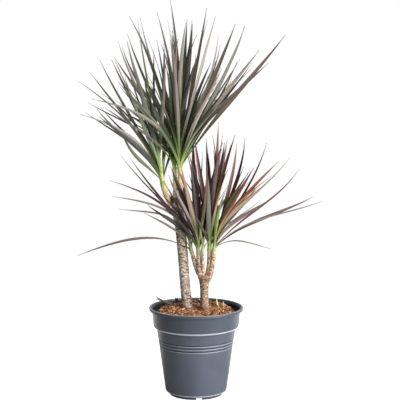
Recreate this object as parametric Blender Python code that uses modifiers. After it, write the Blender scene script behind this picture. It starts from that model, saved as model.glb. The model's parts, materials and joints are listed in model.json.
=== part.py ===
"""Potted magenta dragon tree: two cane stems with heads of long narrow leaves, in a grower's pot.

Metres, +Z up, the front of the plant towards -Y. The origin is under the middle of the pot.
"""

import copy
import math
import random

import bmesh
import bpy
from mathutils import Matrix, Vector
from mathutils.bvhtree import BVHTree

GAP = 0.0003  # left between pieces that touch
UP = Vector((0, 0, 1))
FRONT = Vector((0, -1, 0))
GOLDEN_ANGLE = math.radians(137.5)

# The pot is one turned plastic shell
POT_STEPS = 36
WALL = 0.0016
RIM_Z = 0.160
RIM_RADIUS = 0.085
MOUTH_RADIUS = 0.0815
RIM_BEAD = 0.0050
RIM_ROUND = 0.0012
COLLAR_TOP_RADIUS = 0.0800
COLLAR_FOOT_RADIUS = 0.0774
COLLAR_FOOT_Z = 0.1271
LEDGE_Z = 0.1231
BODY_TOP_RADIUS = 0.0717
BODY_FOOT_RADIUS = 0.0554
BODY_FOOT_Z = 0.0085
GROOVES_Z = (0.1022, 0.0966, 0.0910)
GROOVE_DEPTH = 0.0011
GROOVE_WIDTH = 0.0028
FLOOR_Z = 0.0045
FOOT_OUTER_RADIUS = 0.0485
FOOT_INNER_RADIUS = 0.0440
DISC_RADIUS = 0.0200
FOOT_SLOTS = 4
FOOT_SLOT_WIDTH = 0.011
FOOT_SLOT_HEIGHT = 0.0040
FIRST_SLOT_ANGLE = math.radians(-83.5)
DRAIN_HOLES = 8
DRAIN_HOLE_RADIUS = 0.0040
DRAIN_CIRCLE_RADIUS = 0.0315

# The coir fills the pot: level round the canes, lower at the left and right wall than at front and back
SOIL_Z = 0.1570
SOIL_LEVEL_RADIUS = 0.038
SOIL_DROP_MEAN = 0.0080
SOIL_DROP_SWING = 0.0045
SOIL_RINGS = 5

# Canes and shoots: where each begins and ends, the way it sets out and arrives, and its radius
# at equal steps along it. Each is trimmed clear of the limbs named last.
LIMB_SIDES = 12
CANE_STEPS = 14
SHOOT_STEPS = 7
LIMBS = {
    "tall_cane": dict(
        start=(-0.015, 0.002, SOIL_Z + GAP), end=(-0.0385, 0.001, 0.3600),
        sets_out=(-0.15, 0, 1), arrives=(-0.26, 0, 1),
        radii=(0.0096, 0.0091, 0.0089, 0.0088, 0.0089, 0.0090, 0.0092, 0.0096, 0.0100, 0.0082),
        clear_of=(),
    ),
    "short_cane": dict(
        start=(0.0157, -0.013, SOIL_Z + GAP), end=(0.0155, -0.013, 0.2210),
        sets_out=(-0.06, 0, 1), arrives=(0.04, 0, 1),
        radii=(0.0081, 0.0076, 0.0074, 0.0073, 0.0075, 0.0084, 0.0102, 0.0085),
        clear_of=(),
    ),
    "upper_left_shoot": dict(
        start=(-0.0430, 0.003, 0.3440), end=(-0.0585, 0.004, 0.3790),
        sets_out=(-0.60, 0, 1), arrives=(-0.22, 0, 1),
        radii=(0.0054, 0.0055, 0.0052, 0.0049, 0.0047),
        clear_of=("tall_cane",),
    ),
    "upper_middle_shoot": dict(
        start=(-0.0375, 0.001, 0.3500), end=(-0.0380, 0.001, 0.4080),
        sets_out=(0.05, 0, 1), arrives=(-0.06, 0, 1),
        radii=(0.0043, 0.0042, 0.0040, 0.0039),
        clear_of=("tall_cane", "upper_left_shoot"),
    ),
    "upper_right_shoot": dict(
        start=(-0.0290, -0.005, 0.3390), end=(-0.0285, -0.009, 0.4050),
        sets_out=(0.10, -0.05, 1), arrives=(-0.06, -0.03, 1),
        radii=(0.0045, 0.0044, 0.0042, 0.0040),
        clear_of=("tall_cane", "upper_middle_shoot"),
    ),
    "lower_left_shoot": dict(
        start=(0.0110, -0.013, 0.2120), end=(0.0044, -0.013, 0.2586),
        sets_out=(-0.30, 0, 1), arrives=(-0.02, 0, 1),
        radii=(0.0062, 0.0064, 0.0056, 0.0048, 0.0042, 0.0038),
        clear_of=("short_cane",),
    ),
    "lower_far_left_shoot": dict(
        start=(0.0050, -0.010, 0.2220), end=(-0.0072, -0.009, 0.2604),
        sets_out=(-0.42, 0.10, 1), arrives=(-0.26, 0, 1),
        radii=(0.0046, 0.0043, 0.0038, 0.0034),
        clear_of=("short_cane", "lower_left_shoot"),
    ),
    "lower_middle_shoot": dict(
        start=(0.0125, -0.016, 0.2180), end=(0.0120, -0.017, 0.2622),
        sets_out=(-0.02, -0.08, 1), arrives=(0.01, 0, 1),
        radii=(0.0034, 0.0032, 0.0030, 0.0029),
        clear_of=("short_cane", "lower_left_shoot"),
    ),
    "lower_right_shoot": dict(
        start=(0.0205, -0.012, 0.2120), end=(0.0239, -0.011, 0.2640),
        sets_out=(0.22, 0, 1), arrives=(-0.02, 0.02, 1),
        radii=(0.0060, 0.0060, 0.0048, 0.0041, 0.0038),
        clear_of=("short_cane", "lower_middle_shoot"),
    ),
    "lower_far_right_shoot": dict(
        start=(0.0230, -0.014, 0.2160), end=(0.0320, -0.015, 0.2640),
        sets_out=(0.34, 0, 1), arrives=(0.08, 0, 1),
        radii=(0.0056, 0.0054, 0.0044, 0.0040, 0.0037),
        clear_of=("short_cane", "lower_right_shoot"),
    ),
}

# A blade: its section is a flat diamond, widest at a third of its length and drawn out to a fine tip
BLADE_STATIONS = (0.0, 0.12, 0.34, 0.60, 0.84, 1.0)
BLADE_WIDTH = 0.0122
FULL_WIDTH_LENGTH = 0.13  # a shorter blade is narrower in the same measure
BLADE_ROOT_WIDTH = 0.45
BLADE_TAPER = 2.1
BLADE_THICKNESS = 1 / 92  # of its length
BLADE_TURN = math.radians(75)  # most that a blade of the spiral turns about its midrib
BLADE_SWAY = 0.03  # and how far its middle sways aside, as a share of its length
ROOT_RISE = 0.0048  # lowest leaf root above the foot of its stem
ROOT_TOP = 0.93  # highest leaf root, as a share of the stem
SWINGS = (0, 8, -8, 16, -16, 24, -24, 32, -32)  # degrees a blade is swung round to find free air
DEPTHS = (0, 0.012, -0.012, 0.024, -0.024, 0.036, -0.036, 0.050, -0.050)  # the same for a placed tip, along Y

# Heads of leaves: the shoot each stands on, its stem, and the blades that follow the spiral rule from
# the outermost (first figures) to the innermost (second figures). Reach is where its furthest blades
# end, as (x, y, z, bow, face): bow is how far the blade's middle lies above the straight line, as a
# share of its length, and face is how much of its width it shows to the front.
HEADS = {
    "lower_middle_leaves": dict(
        on="lower_middle_shoot", stem_length=0.012, leans=(0.05, 0), radii=(0.0029, 0.0022),
        blades=2, lean=(45, 12), length=(0.045, 0.060), bow=(0.06, 0.01), first=330, seed=51,
        reach=(
            (0.017, -0.022, 0.314, 0.02, 0.7),
            (0.006, -0.046, 0.306, 0.06, 0.5),
            (0.014, 0.020, 0.322, 0.03, 0.6),
        ),
    ),
    "upper_left_leaves": dict(
        on="upper_left_shoot", stem_length=0.062, leans=(-0.16, 0), radii=(0.0047, 0.0026),
        blades=17, lean=(46, 6), length=(0.180, 0.225), bow=(0.08, 0.01), first=75, seed=11,
        reach=(
            (-0.200, -0.060, 0.511, 0.12, 0.4),
            (-0.135, 0.060, 0.468, -0.06, 0.7),
            (-0.174, -0.030, 0.520, 0.04, 0.6),
            (-0.212, 0.020, 0.567, 0.08, 0.1),
            (-0.184, -0.040, 0.583, 0.03, 0.5),
            (-0.169, -0.015, 0.604, 0.00, 0.5),
            (-0.151, 0.030, 0.603, 0.03, 0.8),
            (-0.120, -0.030, 0.637, 0.02, 0.9),
            (-0.075, 0.030, 0.623, -0.04, 0.4),
            (-0.055, -0.060, 0.633, 0.01, 0.8),
        ),
    ),
    "upper_middle_leaves": dict(
        on="upper_middle_shoot", stem_length=0.020, leans=(-0.10, 0.05), radii=(0.0038, 0.0026),
        blades=5, lean=(48, 10), length=(0.160, 0.190), bow=(0.08, 0.02), first=150, seed=21,
        reach=(
            (-0.152, -0.060, 0.521, 0.06, 0.2),
            (-0.141, 0.060, 0.637, 0.00, 0.2),
            (-0.070, 0.020, 0.639, -0.01, 0.5),
        ),
    ),
    "upper_right_leaves": dict(
        on="upper_right_shoot", stem_length=0.044, leans=(-0.04, 0), radii=(0.0040, 0.0024),
        blades=17, lean=(50, 5), length=(0.180, 0.225), bow=(0.08, 0.01), first=26, seed=31,
        reach=(
            (-0.177, -0.075, 0.542, 0.15, 0.4),
            (0.126, -0.040, 0.599, 0.06, 0.4),
            (0.158, 0.010, 0.647, 0.00, 0.6),
            (0.044, -0.105, 0.590, 0.04, 0.8),
            (0.110, -0.030, 0.621, 0.03, 0.8),
            (0.074, 0.050, 0.599, -0.03, 0.5),
            (-0.124, 0.060, 0.649, 0.01, 0.5),
            (0.085, -0.020, 0.661, -0.01, 0.8),
            (-0.102, 0.080, 0.680, 0.02, 0.2),
            (0.070, 0.020, 0.667, 0.00, 0.8),
            (-0.120, 0.040, 0.681, 0.00, 0.7),
            (-0.043, -0.080, 0.639, 0.01, 0.9),
            (0.034, -0.035, 0.680, 0.01, 0.7),
            (0.019, 0.015, 0.695, -0.01, 0.6),
            (-0.069, 0.010, 0.688, 0.04, 0.5),
            (-0.016, 0.030, 0.674, -0.03, 0.9),
            (-0.045, -0.010, 0.708, 0.02, 0.5),
        ),
    ),
    "lower_far_left_leaves": dict(
        on="lower_far_left_shoot", stem_length=0.016, leans=(-0.20, 0), radii=(0.0033, 0.0024),
        blades=4, lean=(66, 30), length=(0.120, 0.140), bow=(0.09, 0.04), first=100, seed=41,
        reach=(
            (-0.211, -0.020, 0.257, 0.08, 0.2),
            (-0.148, -0.010, 0.362, 0.16, 0.2),
            (-0.152, -0.035, 0.391, 0.10, 0.3),
        ),
    ),
    "lower_left_leaves": dict(
        on="lower_left_shoot", stem_length=0.030, leans=(-0.03, 0), radii=(0.0037, 0.0024),
        blades=10, lean=(58, 6), length=(0.135, 0.175), bow=(0.08, 0.01), first=240, seed=42,
        reach=(
            (-0.133, -0.025, 0.437, 0.02, 0.3),
            (-0.115, -0.045, 0.434, 0.00, 0.5),
            (-0.047, -0.060, 0.407, 0.04, 0.6),
            (-0.027, -0.075, 0.428, 0.02, 0.8),
            (-0.035, -0.055, 0.421, 0.00, 0.7),
            (-0.005, 0.010, 0.472, 0.02, 0.9),
        ),
    ),
    "lower_right_leaves": dict(
        on="lower_right_shoot", stem_length=0.026, leans=(0.02, 0), radii=(0.0037, 0.0024),
        blades=9, lean=(54, 5), length=(0.135, 0.175), bow=(0.08, 0.01), first=60, seed=63,
        reach=(
            (-0.003, -0.060, 0.337, 0.06, 0.4),
            (0.021, -0.070, 0.405, -0.02, 0.8),
            (0.056, 0.025, 0.460, 0.04, 0.8),
            (0.069, -0.015, 0.472, 0.03, 0.8),
            (0.018, 0.030, 0.463, -0.01, 0.6),
            (0.040, 0.010, 0.493, -0.02, 0.6),
        ),
    ),
    "lower_far_right_leaves": dict(
        on="lower_far_right_shoot", stem_length=0.024, leans=(0.10, 0), radii=(0.0036, 0.0024),
        blades=7, lean=(62, 12), length=(0.130, 0.155), bow=(0.09, 0.02), first=130, seed=62,
        reach=(
            (0.131, -0.035, 0.272, 0.12, 0.2),
            (0.223, -0.040, 0.358, 0.06, 0.3),
            (0.208, -0.010, 0.361, 0.02, 0.3),
            (0.183, -0.015, 0.412, 0.00, 0.3),
            (0.169, 0.015, 0.430, 0.05, 0.4),
            (0.126, -0.050, 0.394, 0.09, 0.7),
            (0.145, -0.020, 0.425, 0.05, 0.7),
            (0.091, -0.060, 0.409, 0.06, 0.5),
            (0.126, 0.010, 0.456, -0.02, 0.2),
            (0.086, -0.030, 0.468, -0.01, 0.5),
            (0.072, -0.010, 0.456, -0.02, 0.5),
        ),
    ),
}

# Colours
POT_GREY = (0.115, 0.128, 0.150)
COIR_BROWN = (0.210, 0.075, 0.030)
CANE_BEIGE = (0.400, 0.290, 0.190)
SHOOT_CREAM = (0.560, 0.480, 0.220)
UPPER_LEAF_GREEN = (0.085, 0.095, 0.070)
LOWER_LEAF_MAROON = (0.120, 0.040, 0.045)


def clear_scene():
    for obj in list(bpy.data.objects):
        bpy.data.objects.remove(obj)
    for collection in list(bpy.data.collections):
        bpy.data.collections.remove(collection)


def new_collection(name):
    collection = bpy.data.collections.new(name)
    bpy.context.scene.collection.children.link(collection)
    return collection


def material(name, colour, roughness):
    made = bpy.data.materials.new(name)
    made.use_nodes = True
    shader = made.node_tree.nodes["Principled BSDF"]
    shader.inputs["Base Color"].default_value = (*colour, 1)
    shader.inputs["Roughness"].default_value = roughness
    shader.inputs["Metallic"].default_value = 0
    return made


def new_object(name, mesh, collection):
    obj = bpy.data.objects.new(name, mesh)
    collection.objects.link(obj)
    return obj


def mesh_of(name, points, faces):
    mesh = bpy.data.meshes.new(name)
    mesh.from_pydata(points, [], faces)
    mesh.update()
    return mesh


def bake_modifiers(obj):
    graph = bpy.context.evaluated_depsgraph_get()
    mesh = bpy.data.meshes.new_from_object(obj.evaluated_get(graph))
    obj.modifiers.clear()
    obj.data = mesh


def boolean(obj, operation, other, solver="EXACT"):
    cut = obj.modifiers.new(operation.title(), "BOOLEAN")
    cut.operation = operation
    cut.solver = solver
    if isinstance(other, bpy.types.Collection):
        cut.operand_type = "COLLECTION"
        cut.collection = other
    else:
        cut.object = other


def as_cutter(obj):
    obj.hide_render = True
    obj.display_type = "WIRE"
    return obj


def between(ends, share):
    return ends[0] + share * (ends[1] - ends[0])


def shade_smooth(obj, angle=40):
    obj.data.shade_smooth()
    obj.data.set_sharp_from_angle(angle=math.radians(angle))


# Pot


def body_radius(z):
    """Outer radius of the tapering wall under the collar."""
    return between((BODY_FOOT_RADIUS, BODY_TOP_RADIUS), (z - BODY_FOOT_Z) / (LEDGE_Z - BODY_FOOT_Z))


def collar_radius(z):
    """Outer radius of the collar between the rim and the ledge."""
    share = (z - COLLAR_FOOT_Z) / (RIM_Z - RIM_BEAD - COLLAR_FOOT_Z)
    return between((COLLAR_FOOT_RADIUS, COLLAR_TOP_RADIUS), share)


def outer_profile():
    """(radius, height) down the outside of the pot, from its mouth to the middle of its underside."""
    bead_foot = RIM_Z - RIM_BEAD
    points = [
        (MOUTH_RADIUS, RIM_Z - RIM_ROUND / 2),
        (MOUTH_RADIUS + RIM_ROUND / 2, RIM_Z),
        (RIM_RADIUS - RIM_ROUND, RIM_Z),
        (RIM_RADIUS, RIM_Z - RIM_ROUND),
        (RIM_RADIUS, bead_foot + RIM_ROUND),
        (RIM_RADIUS - RIM_ROUND, bead_foot),
        (COLLAR_TOP_RADIUS + RIM_ROUND / 2, bead_foot),
        (collar_radius(bead_foot - RIM_ROUND), bead_foot - RIM_ROUND),
        (COLLAR_FOOT_RADIUS, COLLAR_FOOT_Z),
        (COLLAR_FOOT_RADIUS - 0.0010, COLLAR_FOOT_Z - 0.0024),
        (COLLAR_FOOT_RADIUS - 0.0030, LEDGE_Z),
        (BODY_TOP_RADIUS, LEDGE_Z - 0.0006),
    ]
    for z in GROOVES_Z:
        points.append((body_radius(z + GROOVE_WIDTH / 2), z + GROOVE_WIDTH / 2))
        points.append((body_radius(z) - GROOVE_DEPTH, z))
        points.append((body_radius(z - GROOVE_WIDTH / 2), z - GROOVE_WIDTH / 2))
    points += [
        (BODY_FOOT_RADIUS, BODY_FOOT_Z),
        (BODY_FOOT_RADIUS - 0.0014, BODY_FOOT_Z - 0.0024),
        (FOOT_OUTER_RADIUS + 0.0012, FLOOR_Z),
        (FOOT_OUTER_RADIUS - 0.0005, 0),
        (FOOT_INNER_RADIUS + 0.0005, 0),
        (FOOT_INNER_RADIUS, FLOOR_Z),
        (DISC_RADIUS + 0.0008, FLOOR_Z),
        (DISC_RADIUS, 0),
        (0, 0),
    ]
    return points


def inner_profile(inset):
    """(radius, height) up the inside of the pot from its middle, drawn in by an inset."""
    return [
        (0, WALL + inset),
        (DISC_RADIUS - WALL - inset, WALL + inset),
        (DISC_RADIUS + 0.0008 - WALL - inset, FLOOR_Z + WALL + inset),
        (BODY_FOOT_RADIUS - 0.0014 - WALL - inset, FLOOR_Z + WALL + inset),
        (BODY_FOOT_RADIUS - WALL - inset, BODY_FOOT_Z + WALL + inset),
        (BODY_TOP_RADIUS - WALL - inset, LEDGE_Z - WALL + inset),
        (COLLAR_FOOT_RADIUS - 0.0030 - WALL - inset, LEDGE_Z + WALL / 2 + inset),
        (COLLAR_FOOT_RADIUS - WALL - inset, COLLAR_FOOT_Z + inset),
    ]


def turned(name, profile, collection):
    """A closed (radius, height) profile turned about the Z axis."""
    points = [(radius, 0, height) for radius, height in profile]
    mesh = bpy.data.meshes.new(name)
    mesh.from_pydata(points, [(i, i + 1) for i in range(len(points) - 1)], [])
    obj = new_object(name, mesh, collection)
    screw = obj.modifiers.new("Turn", "SCREW")
    screw.axis = "Z"
    screw.steps = POT_STEPS
    screw.render_steps = POT_STEPS
    screw.use_merge_vertices = True
    screw.merge_threshold = 0.00001
    return obj


def foot_slots(cutters):
    """Boxes that cut the drain slots through the foot ring."""
    middle = (FOOT_OUTER_RADIUS + FOOT_INNER_RADIUS) / 2
    depth = FOOT_OUTER_RADIUS - FOOT_INNER_RADIUS + 0.006
    for i in range(FOOT_SLOTS):
        angle = FIRST_SLOT_ANGLE + i * math.tau / FOOT_SLOTS
        shape = bmesh.new()
        bmesh.ops.create_cube(shape, size=1)
        mesh = bpy.data.meshes.new("foot_slot")
        shape.to_mesh(mesh)
        shape.free()
        size = Matrix.Diagonal((depth, FOOT_SLOT_WIDTH, 2 * FOOT_SLOT_HEIGHT, 1))
        place = Matrix.Rotation(angle, 4, "Z") @ Matrix.Translation((middle, 0, 0))
        mesh.transform(place @ size)
        as_cutter(new_object("foot_slot", mesh, cutters))


def drain_holes(cutters):
    for i in range(DRAIN_HOLES):
        angle = (i + 0.5) * math.tau / DRAIN_HOLES
        shape = bmesh.new()
        bmesh.ops.create_cone(
            shape,
            cap_ends=True,
            segments=12,
            radius1=DRAIN_HOLE_RADIUS,
            radius2=DRAIN_HOLE_RADIUS,
            depth=0.012,
        )
        mesh = bpy.data.meshes.new("drain_hole")
        shape.to_mesh(mesh)
        shape.free()
        x = DRAIN_CIRCLE_RADIUS * math.cos(angle)
        y = DRAIN_CIRCLE_RADIUS * math.sin(angle)
        mesh.transform(Matrix.Translation((x, y, FLOOR_Z)))
        as_cutter(new_object("drain_hole", mesh, cutters))


def make_pot(parts, cutters):
    profile = outer_profile() + inner_profile(0)
    rim_wall = (collar_radius(RIM_Z - RIM_BEAD) - WALL, RIM_Z - RIM_BEAD)
    profile += [rim_wall, profile[0]]
    pot = turned("pot", profile, parts)
    foot_slots(cutters)
    drain_holes(cutters)
    boolean(pot, "DIFFERENCE", cutters)
    bake_modifiers(pot)
    shade_smooth(pot)
    pot.data.materials.append(material("pot_plastic", POT_GREY, 0.38))
    return pot


# Coir


def soil_height(radius, angle, wall_radius):
    """Height of the coir: level in the middle, sinking to the pot's wall most at the left and right."""
    share = max(0.0, radius - SOIL_LEVEL_RADIUS) / (wall_radius - SOIL_LEVEL_RADIUS)
    drop = SOIL_DROP_MEAN + SOIL_DROP_SWING * math.cos(2 * angle)
    return SOIL_Z - drop * share**2


def make_soil(parts):
    """A body turned to the pot's inside, whose top rings follow the heaped surface."""
    wall = COLLAR_FOOT_RADIUS - WALL - GAP
    below = inner_profile(GAP)
    heaped = [between((SOIL_LEVEL_RADIUS, wall), i / SOIL_RINGS) for i in range(SOIL_RINGS + 1)]
    rings = [(radius, None) for radius in heaped] + below[:0:-1]
    points = [(0, 0, SOIL_Z), (0, 0, below[0][1])]
    loops = []
    for radius, height in rings:
        loop = []
        for step in range(POT_STEPS):
            angle = math.tau * step / POT_STEPS
            z = soil_height(radius, angle, wall) if height is None else height
            loop.append(len(points))
            points.append((radius * math.cos(angle), radius * math.sin(angle), z))
        loops.append(loop)
    faces = []
    for step in range(POT_STEPS):
        after = (step + 1) % POT_STEPS
        faces.append((0, loops[0][step], loops[0][after]))
        faces.append((1, loops[-1][after], loops[-1][step]))
        for upper, lower in zip(loops, loops[1:]):
            faces.append((upper[step], lower[step], lower[after], upper[after]))
    soil = new_object("coir", mesh_of("coir", points, faces), parts)
    shade_smooth(soil)
    soil.data.materials.append(material("coir", COIR_BROWN, 0.95))
    return soil


# Canes and shoots


def limb_path(spec):
    """Points and directions at equal steps of a smooth curve from the limb's start to its end."""
    start = Vector(spec["start"])
    end = Vector(spec["end"])
    span = (end - start).length
    out = Vector(spec["sets_out"]).normalized() * span
    into = Vector(spec["arrives"]).normalized() * span
    points = []
    steps = SHOOT_STEPS if spec["clear_of"] else CANE_STEPS
    for step in range(steps + 1):
        t = step / steps
        points.append(
            start * (2 * t**3 - 3 * t**2 + 1)
            + out * (t**3 - 2 * t**2 + t)
            + end * (3 * t**2 - 2 * t**3)
            + into * (t**3 - t**2)
        )
    return points, Vector(spec["arrives"]).normalized()


def radius_at(radii, share):
    """Radius read between the figures at equal steps."""
    place = share * (len(radii) - 1)
    i = min(int(place), len(radii) - 2)
    return between((radii[i], radii[i + 1]), place - i)


def tube(name, points, radii, first_way, last_way, collection):
    """A closed round tube: its first end is cut square to first_way and its last to last_way."""
    rings = []
    verts = []
    count = len(points)
    for i, point in enumerate(points):
        way = points[min(i + 1, count - 1)] - points[max(i - 1, 0)]
        if i == 0:
            way = Vector(first_way)
        if i == count - 1:
            way = Vector(last_way)
        turn = UP.rotation_difference(way.normalized())
        ring = []
        for side in range(LIMB_SIDES):
            angle = math.tau * side / LIMB_SIDES
            ring.append(len(verts))
            verts.append(point + turn @ Vector((math.cos(angle), math.sin(angle), 0)) * radii[i])
        rings.append(ring)
    faces = [tuple(reversed(rings[0])), tuple(rings[-1])]
    for lower, upper in zip(rings, rings[1:]):
        for side in range(LIMB_SIDES):
            after = (side + 1) % LIMB_SIDES
            faces.append((lower[side], lower[after], upper[after], upper[side]))
    return new_object(name, mesh_of(name, verts, faces), collection)


def limb_tube(name, grow, collection):
    """The limb's tube, made wider and longer by grow for a cutter."""
    spec = LIMBS[name]
    points, last_way = limb_path(spec)
    radii = [radius_at(spec["radii"], i / (len(points) - 1)) + grow for i in range(len(points))]
    first_way = UP if not spec["clear_of"] else points[1] - points[0]
    points[0] = points[0] - Vector(first_way).normalized() * grow
    points[-1] = points[-1] + last_way * grow
    return tube(name, points, radii, first_way, last_way, collection)


def make_limb(name, parts, cutters):
    limb = limb_tube(name, 0, parts)
    for other in LIMBS[name]["clear_of"]:
        boolean(limb, "DIFFERENCE", as_cutter(limb_tube(other, GAP, cutters)))
    bake_modifiers(limb)
    keep_largest_piece(limb.data)
    shade_smooth(limb)
    old = name.endswith("cane")
    limb.data.materials.append(
        material(name + "_bark", CANE_BEIGE if old else SHOOT_CREAM, 0.85 if old else 0.60)
    )
    return limb


def keep_largest_piece(mesh):
    """Drops every piece that shares no edge with the largest, such as a scrap or a hollow's skin."""
    shape = bmesh.new()
    shape.from_mesh(mesh)
    bmesh.ops.triangulate(shape, faces=shape.faces)
    left = set(shape.faces)
    pieces = []
    while left:
        piece = set()
        found = {left.pop()}
        while found:
            piece |= found
            seams = {edge for face in found for edge in face.edges if edge.is_manifold}
            found = {face for edge in seams for face in edge.link_faces} - piece
        left -= piece
        pieces.append(piece)
    pieces.sort(key=len)
    bmesh.ops.delete(shape, geom=[face for piece in pieces[:-1] for face in piece], context="FACES")
    shape.to_mesh(mesh)
    shape.free()


# Leaves


class Blade:
    """One leaf: its root on the stem's middle line, its tip, and how it bows, turns and tapers."""

    def __init__(self, root, tip, bow, turn, sway, draw):
        self.root = root
        self.tip = tip
        self.bow = bow
        self.turn = turn
        self.sway = sway
        self.width = BLADE_WIDTH * draw.uniform(0.80, 1.12)
        self.width *= min(1.0, (tip - root).length / FULL_WIDTH_LENGTH)

    def moved(self, tip):
        other = copy.copy(self)
        other.tip = tip
        return other

    def swung(self):
        """The blade as it is, then swung round the upright line through its root by growing angles."""
        for degrees in SWINGS:
            turn = Matrix.Rotation(math.radians(degrees), 3, "Z")
            yield self.moved(self.root + turn @ (self.tip - self.root))

    def shifted(self):
        """The blade as it is, then with its tip nearer to the front or to the back."""
        for depth in DEPTHS:
            yield self.moved(self.tip + Vector((0, depth, 0)))

    def shape(self, grow=0.0):
        """Points and faces of the closed blade, made fatter by grow on every side."""
        chord = self.tip - self.root
        length = chord.length
        way = chord / length
        across = level_across(way)
        lift = (UP - way * UP.dot(way)).normalized() * 2 * self.bow
        bend = (self.root + self.tip) / 2 + (lift + across * self.sway) * length
        half_thick = length * BLADE_THICKNESS / 2
        points = []
        for s in BLADE_STATIONS[:-1]:
            middle = self.root * (1 - s) ** 2 + bend * 2 * s * (1 - s) + self.tip * s**2
            along = ((bend - self.root) * (1 - s) + (self.tip - bend) * s).normalized()
            face = along.cross(across).normalized()
            turn = self.turn * min(1.0, 2 * s)
            side = across * math.cos(turn) + face * math.sin(turn)
            normal = along.cross(side)
            fullness = min(1.0, BLADE_ROOT_WIDTH + 1.6 * s) * (1 - s**BLADE_TAPER)
            half_width = self.width / 2 * fullness + grow
            half_depth = half_thick * min(1.0, 2.6 * (1 - s)) + grow
            points += [
                middle + side * half_width,
                middle + normal * half_depth,
                middle - side * half_width,
                middle - normal * half_depth,
            ]
        points.append(self.tip + (self.tip - bend).normalized() * grow)
        return points, blade_faces()


def level_across(way):
    return Vector((-way.y, way.x, 0)).normalized()


def turn_showing(way, face, side):
    """Turn about its midrib by which a blade shows this share of its width to the front."""
    across = level_across(way)
    flat = way.cross(FRONT).normalized()
    aim = flat * face + way.cross(flat) * side * math.sqrt(1 - face * face)
    turn = math.atan2(way.dot(across.cross(aim)), across.dot(aim))
    return (turn + math.pi / 2) % math.pi - math.pi / 2


def blade_faces():
    """Faces of a blade: rings of four points closed by a cap at the root and a point at the tip."""
    rings = len(BLADE_STATIONS) - 1
    faces = [(3, 2, 1, 0)]
    for ring in range(rings - 1):
        for side in range(4):
            a = 4 * ring + side
            b = 4 * ring + (side + 1) % 4
            faces.append((a, b, b + 4, a + 4))
    last = 4 * (rings - 1)
    for side in range(4):
        faces.append((last + side, last + (side + 1) % 4, 4 * rings))
    return faces


def stem_of(name):
    """Foot and top of a head's stem, a gap clear of its shoot, and the way it sets out and ends."""
    spec = HEADS[name]
    shoot = LIMBS[spec["on"]]
    foot_way = Vector(shoot["arrives"]).normalized()
    top_way = Vector((*spec["leans"], 1)).normalized()
    foot = Vector(shoot["end"]) + foot_way * GAP
    top = foot + (foot_way + top_way).normalized() * spec["stem_length"]
    return foot, top, foot_way, top_way


def make_stem(name, collection):
    foot, top, foot_way, top_way = stem_of(name)
    first, last = HEADS[name]["radii"]
    points = [foot, (foot + top) / 2, top]
    return tube(name, points, [first, (first + last) / 2, last], foot_way, top_way, collection)


def root_at(name, share):
    """Point on the stem's middle line, from the lowest root at 0 to the highest at 1."""
    foot, top, _, _ = stem_of(name)
    lowest = foot + (top - foot).normalized() * ROOT_RISE
    highest = foot + (top - foot) * ROOT_TOP
    return between((lowest, highest), share)


def reaching_blades(name):
    """Blades that run to the places the head reaches, the flattest of them lowest on the stem."""
    spec = HEADS[name]
    foot = stem_of(name)[0]
    draw = random.Random(spec["seed"])
    tips = sorted(spec["reach"], key=lambda row: (Vector(row[:3]) - foot).angle(UP), reverse=True)
    blades = []
    for i, (x, y, z, bow, face) in enumerate(tips):
        root = root_at(name, (i + 0.35) / len(tips))
        tip = Vector((x, y, z))
        turn = turn_showing((tip - root).normalized(), face, draw.choice((-1, 1)))
        blades.append(Blade(root, tip, bow, turn, 0, draw))
    return blades


def spiral_blades(name):
    """Blades set by the spiral rule: each a golden angle on from the last, higher and more upright."""
    spec = HEADS[name]
    draw = random.Random(spec["seed"] * 100)
    leaning = UP.rotation_difference(stem_of(name)[3])
    blades = []
    for i in range(spec["blades"]):
        share = (i + 0.6) / spec["blades"]
        root = root_at(name, share)
        angle = math.radians(spec["first"]) + i * GOLDEN_ANGLE
        lean = math.radians(between(spec["lean"], share) + draw.uniform(-6, 6))
        length = between(spec["length"], share) * draw.uniform(0.86, 1.10)
        bow = between(spec["bow"], share)
        reach = Vector((math.sin(lean) * math.cos(angle), math.sin(lean) * math.sin(angle), math.cos(lean)))
        turn = draw.uniform(-1, 1) * BLADE_TURN
        sway = draw.uniform(-1, 1) * BLADE_SWAY
        blades.append(Blade(root, root + leaning @ reach * length, bow, turn, sway, draw))
    return blades


def tree_of(shape):
    return BVHTree.FromPolygons(*shape)


def tree_of_object(obj):
    points = [v.co.copy() for v in obj.data.vertices]
    return BVHTree.FromPolygons(points, [tuple(p.vertices) for p in obj.data.polygons])


def free_place(places, others):
    """The first of a blade's places in which it touches none of the others, or None."""
    for place in places:
        fat = tree_of(place.shape(GAP))
        if not any(fat.overlap(other) for other in others):
            return place
    return None


def settle_blades(solids, stems):
    """Gives each head its blades: first those that reach furthest, then the spiral ones, each kept
    clear of the solids and of every other head."""
    fixed = [tree_of_object(obj) for obj in solids]
    settled = {name: [] for name in HEADS}
    trees = {name: [tree_of_object(stems[name])] for name in HEADS}
    for rule, ways in ((reaching_blades, Blade.shifted), (spiral_blades, Blade.swung)):
        for name in HEADS:
            others = fixed + [tree for other in HEADS if other != name for tree in trees[other]]
            for blade in rule(name):
                place = free_place(ways(blade), others)
                if place:
                    settled[name].append(place)
                    trees[name].append(tree_of(place.shape()))
    return settled


def make_head(name, stem, blades, parts, colour):
    """The head's stem with its blades fused on. Where many blades cross, EXACT leaves seams."""
    loose = new_collection(name + "_blades")
    for i, blade in enumerate(blades):
        new_object("%s_blade_%d" % (name, i), mesh_of("blade", *blade.shape()), loose)
    boolean(stem, "UNION", loose, solver="MANIFOLD")
    bake_modifiers(stem)
    keep_largest_piece(stem.data)
    for obj in list(loose.objects):
        bpy.data.objects.remove(obj)
    bpy.data.collections.remove(loose)
    stem.data.materials.append(material(name, colour, 0.45))
    return stem


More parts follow.
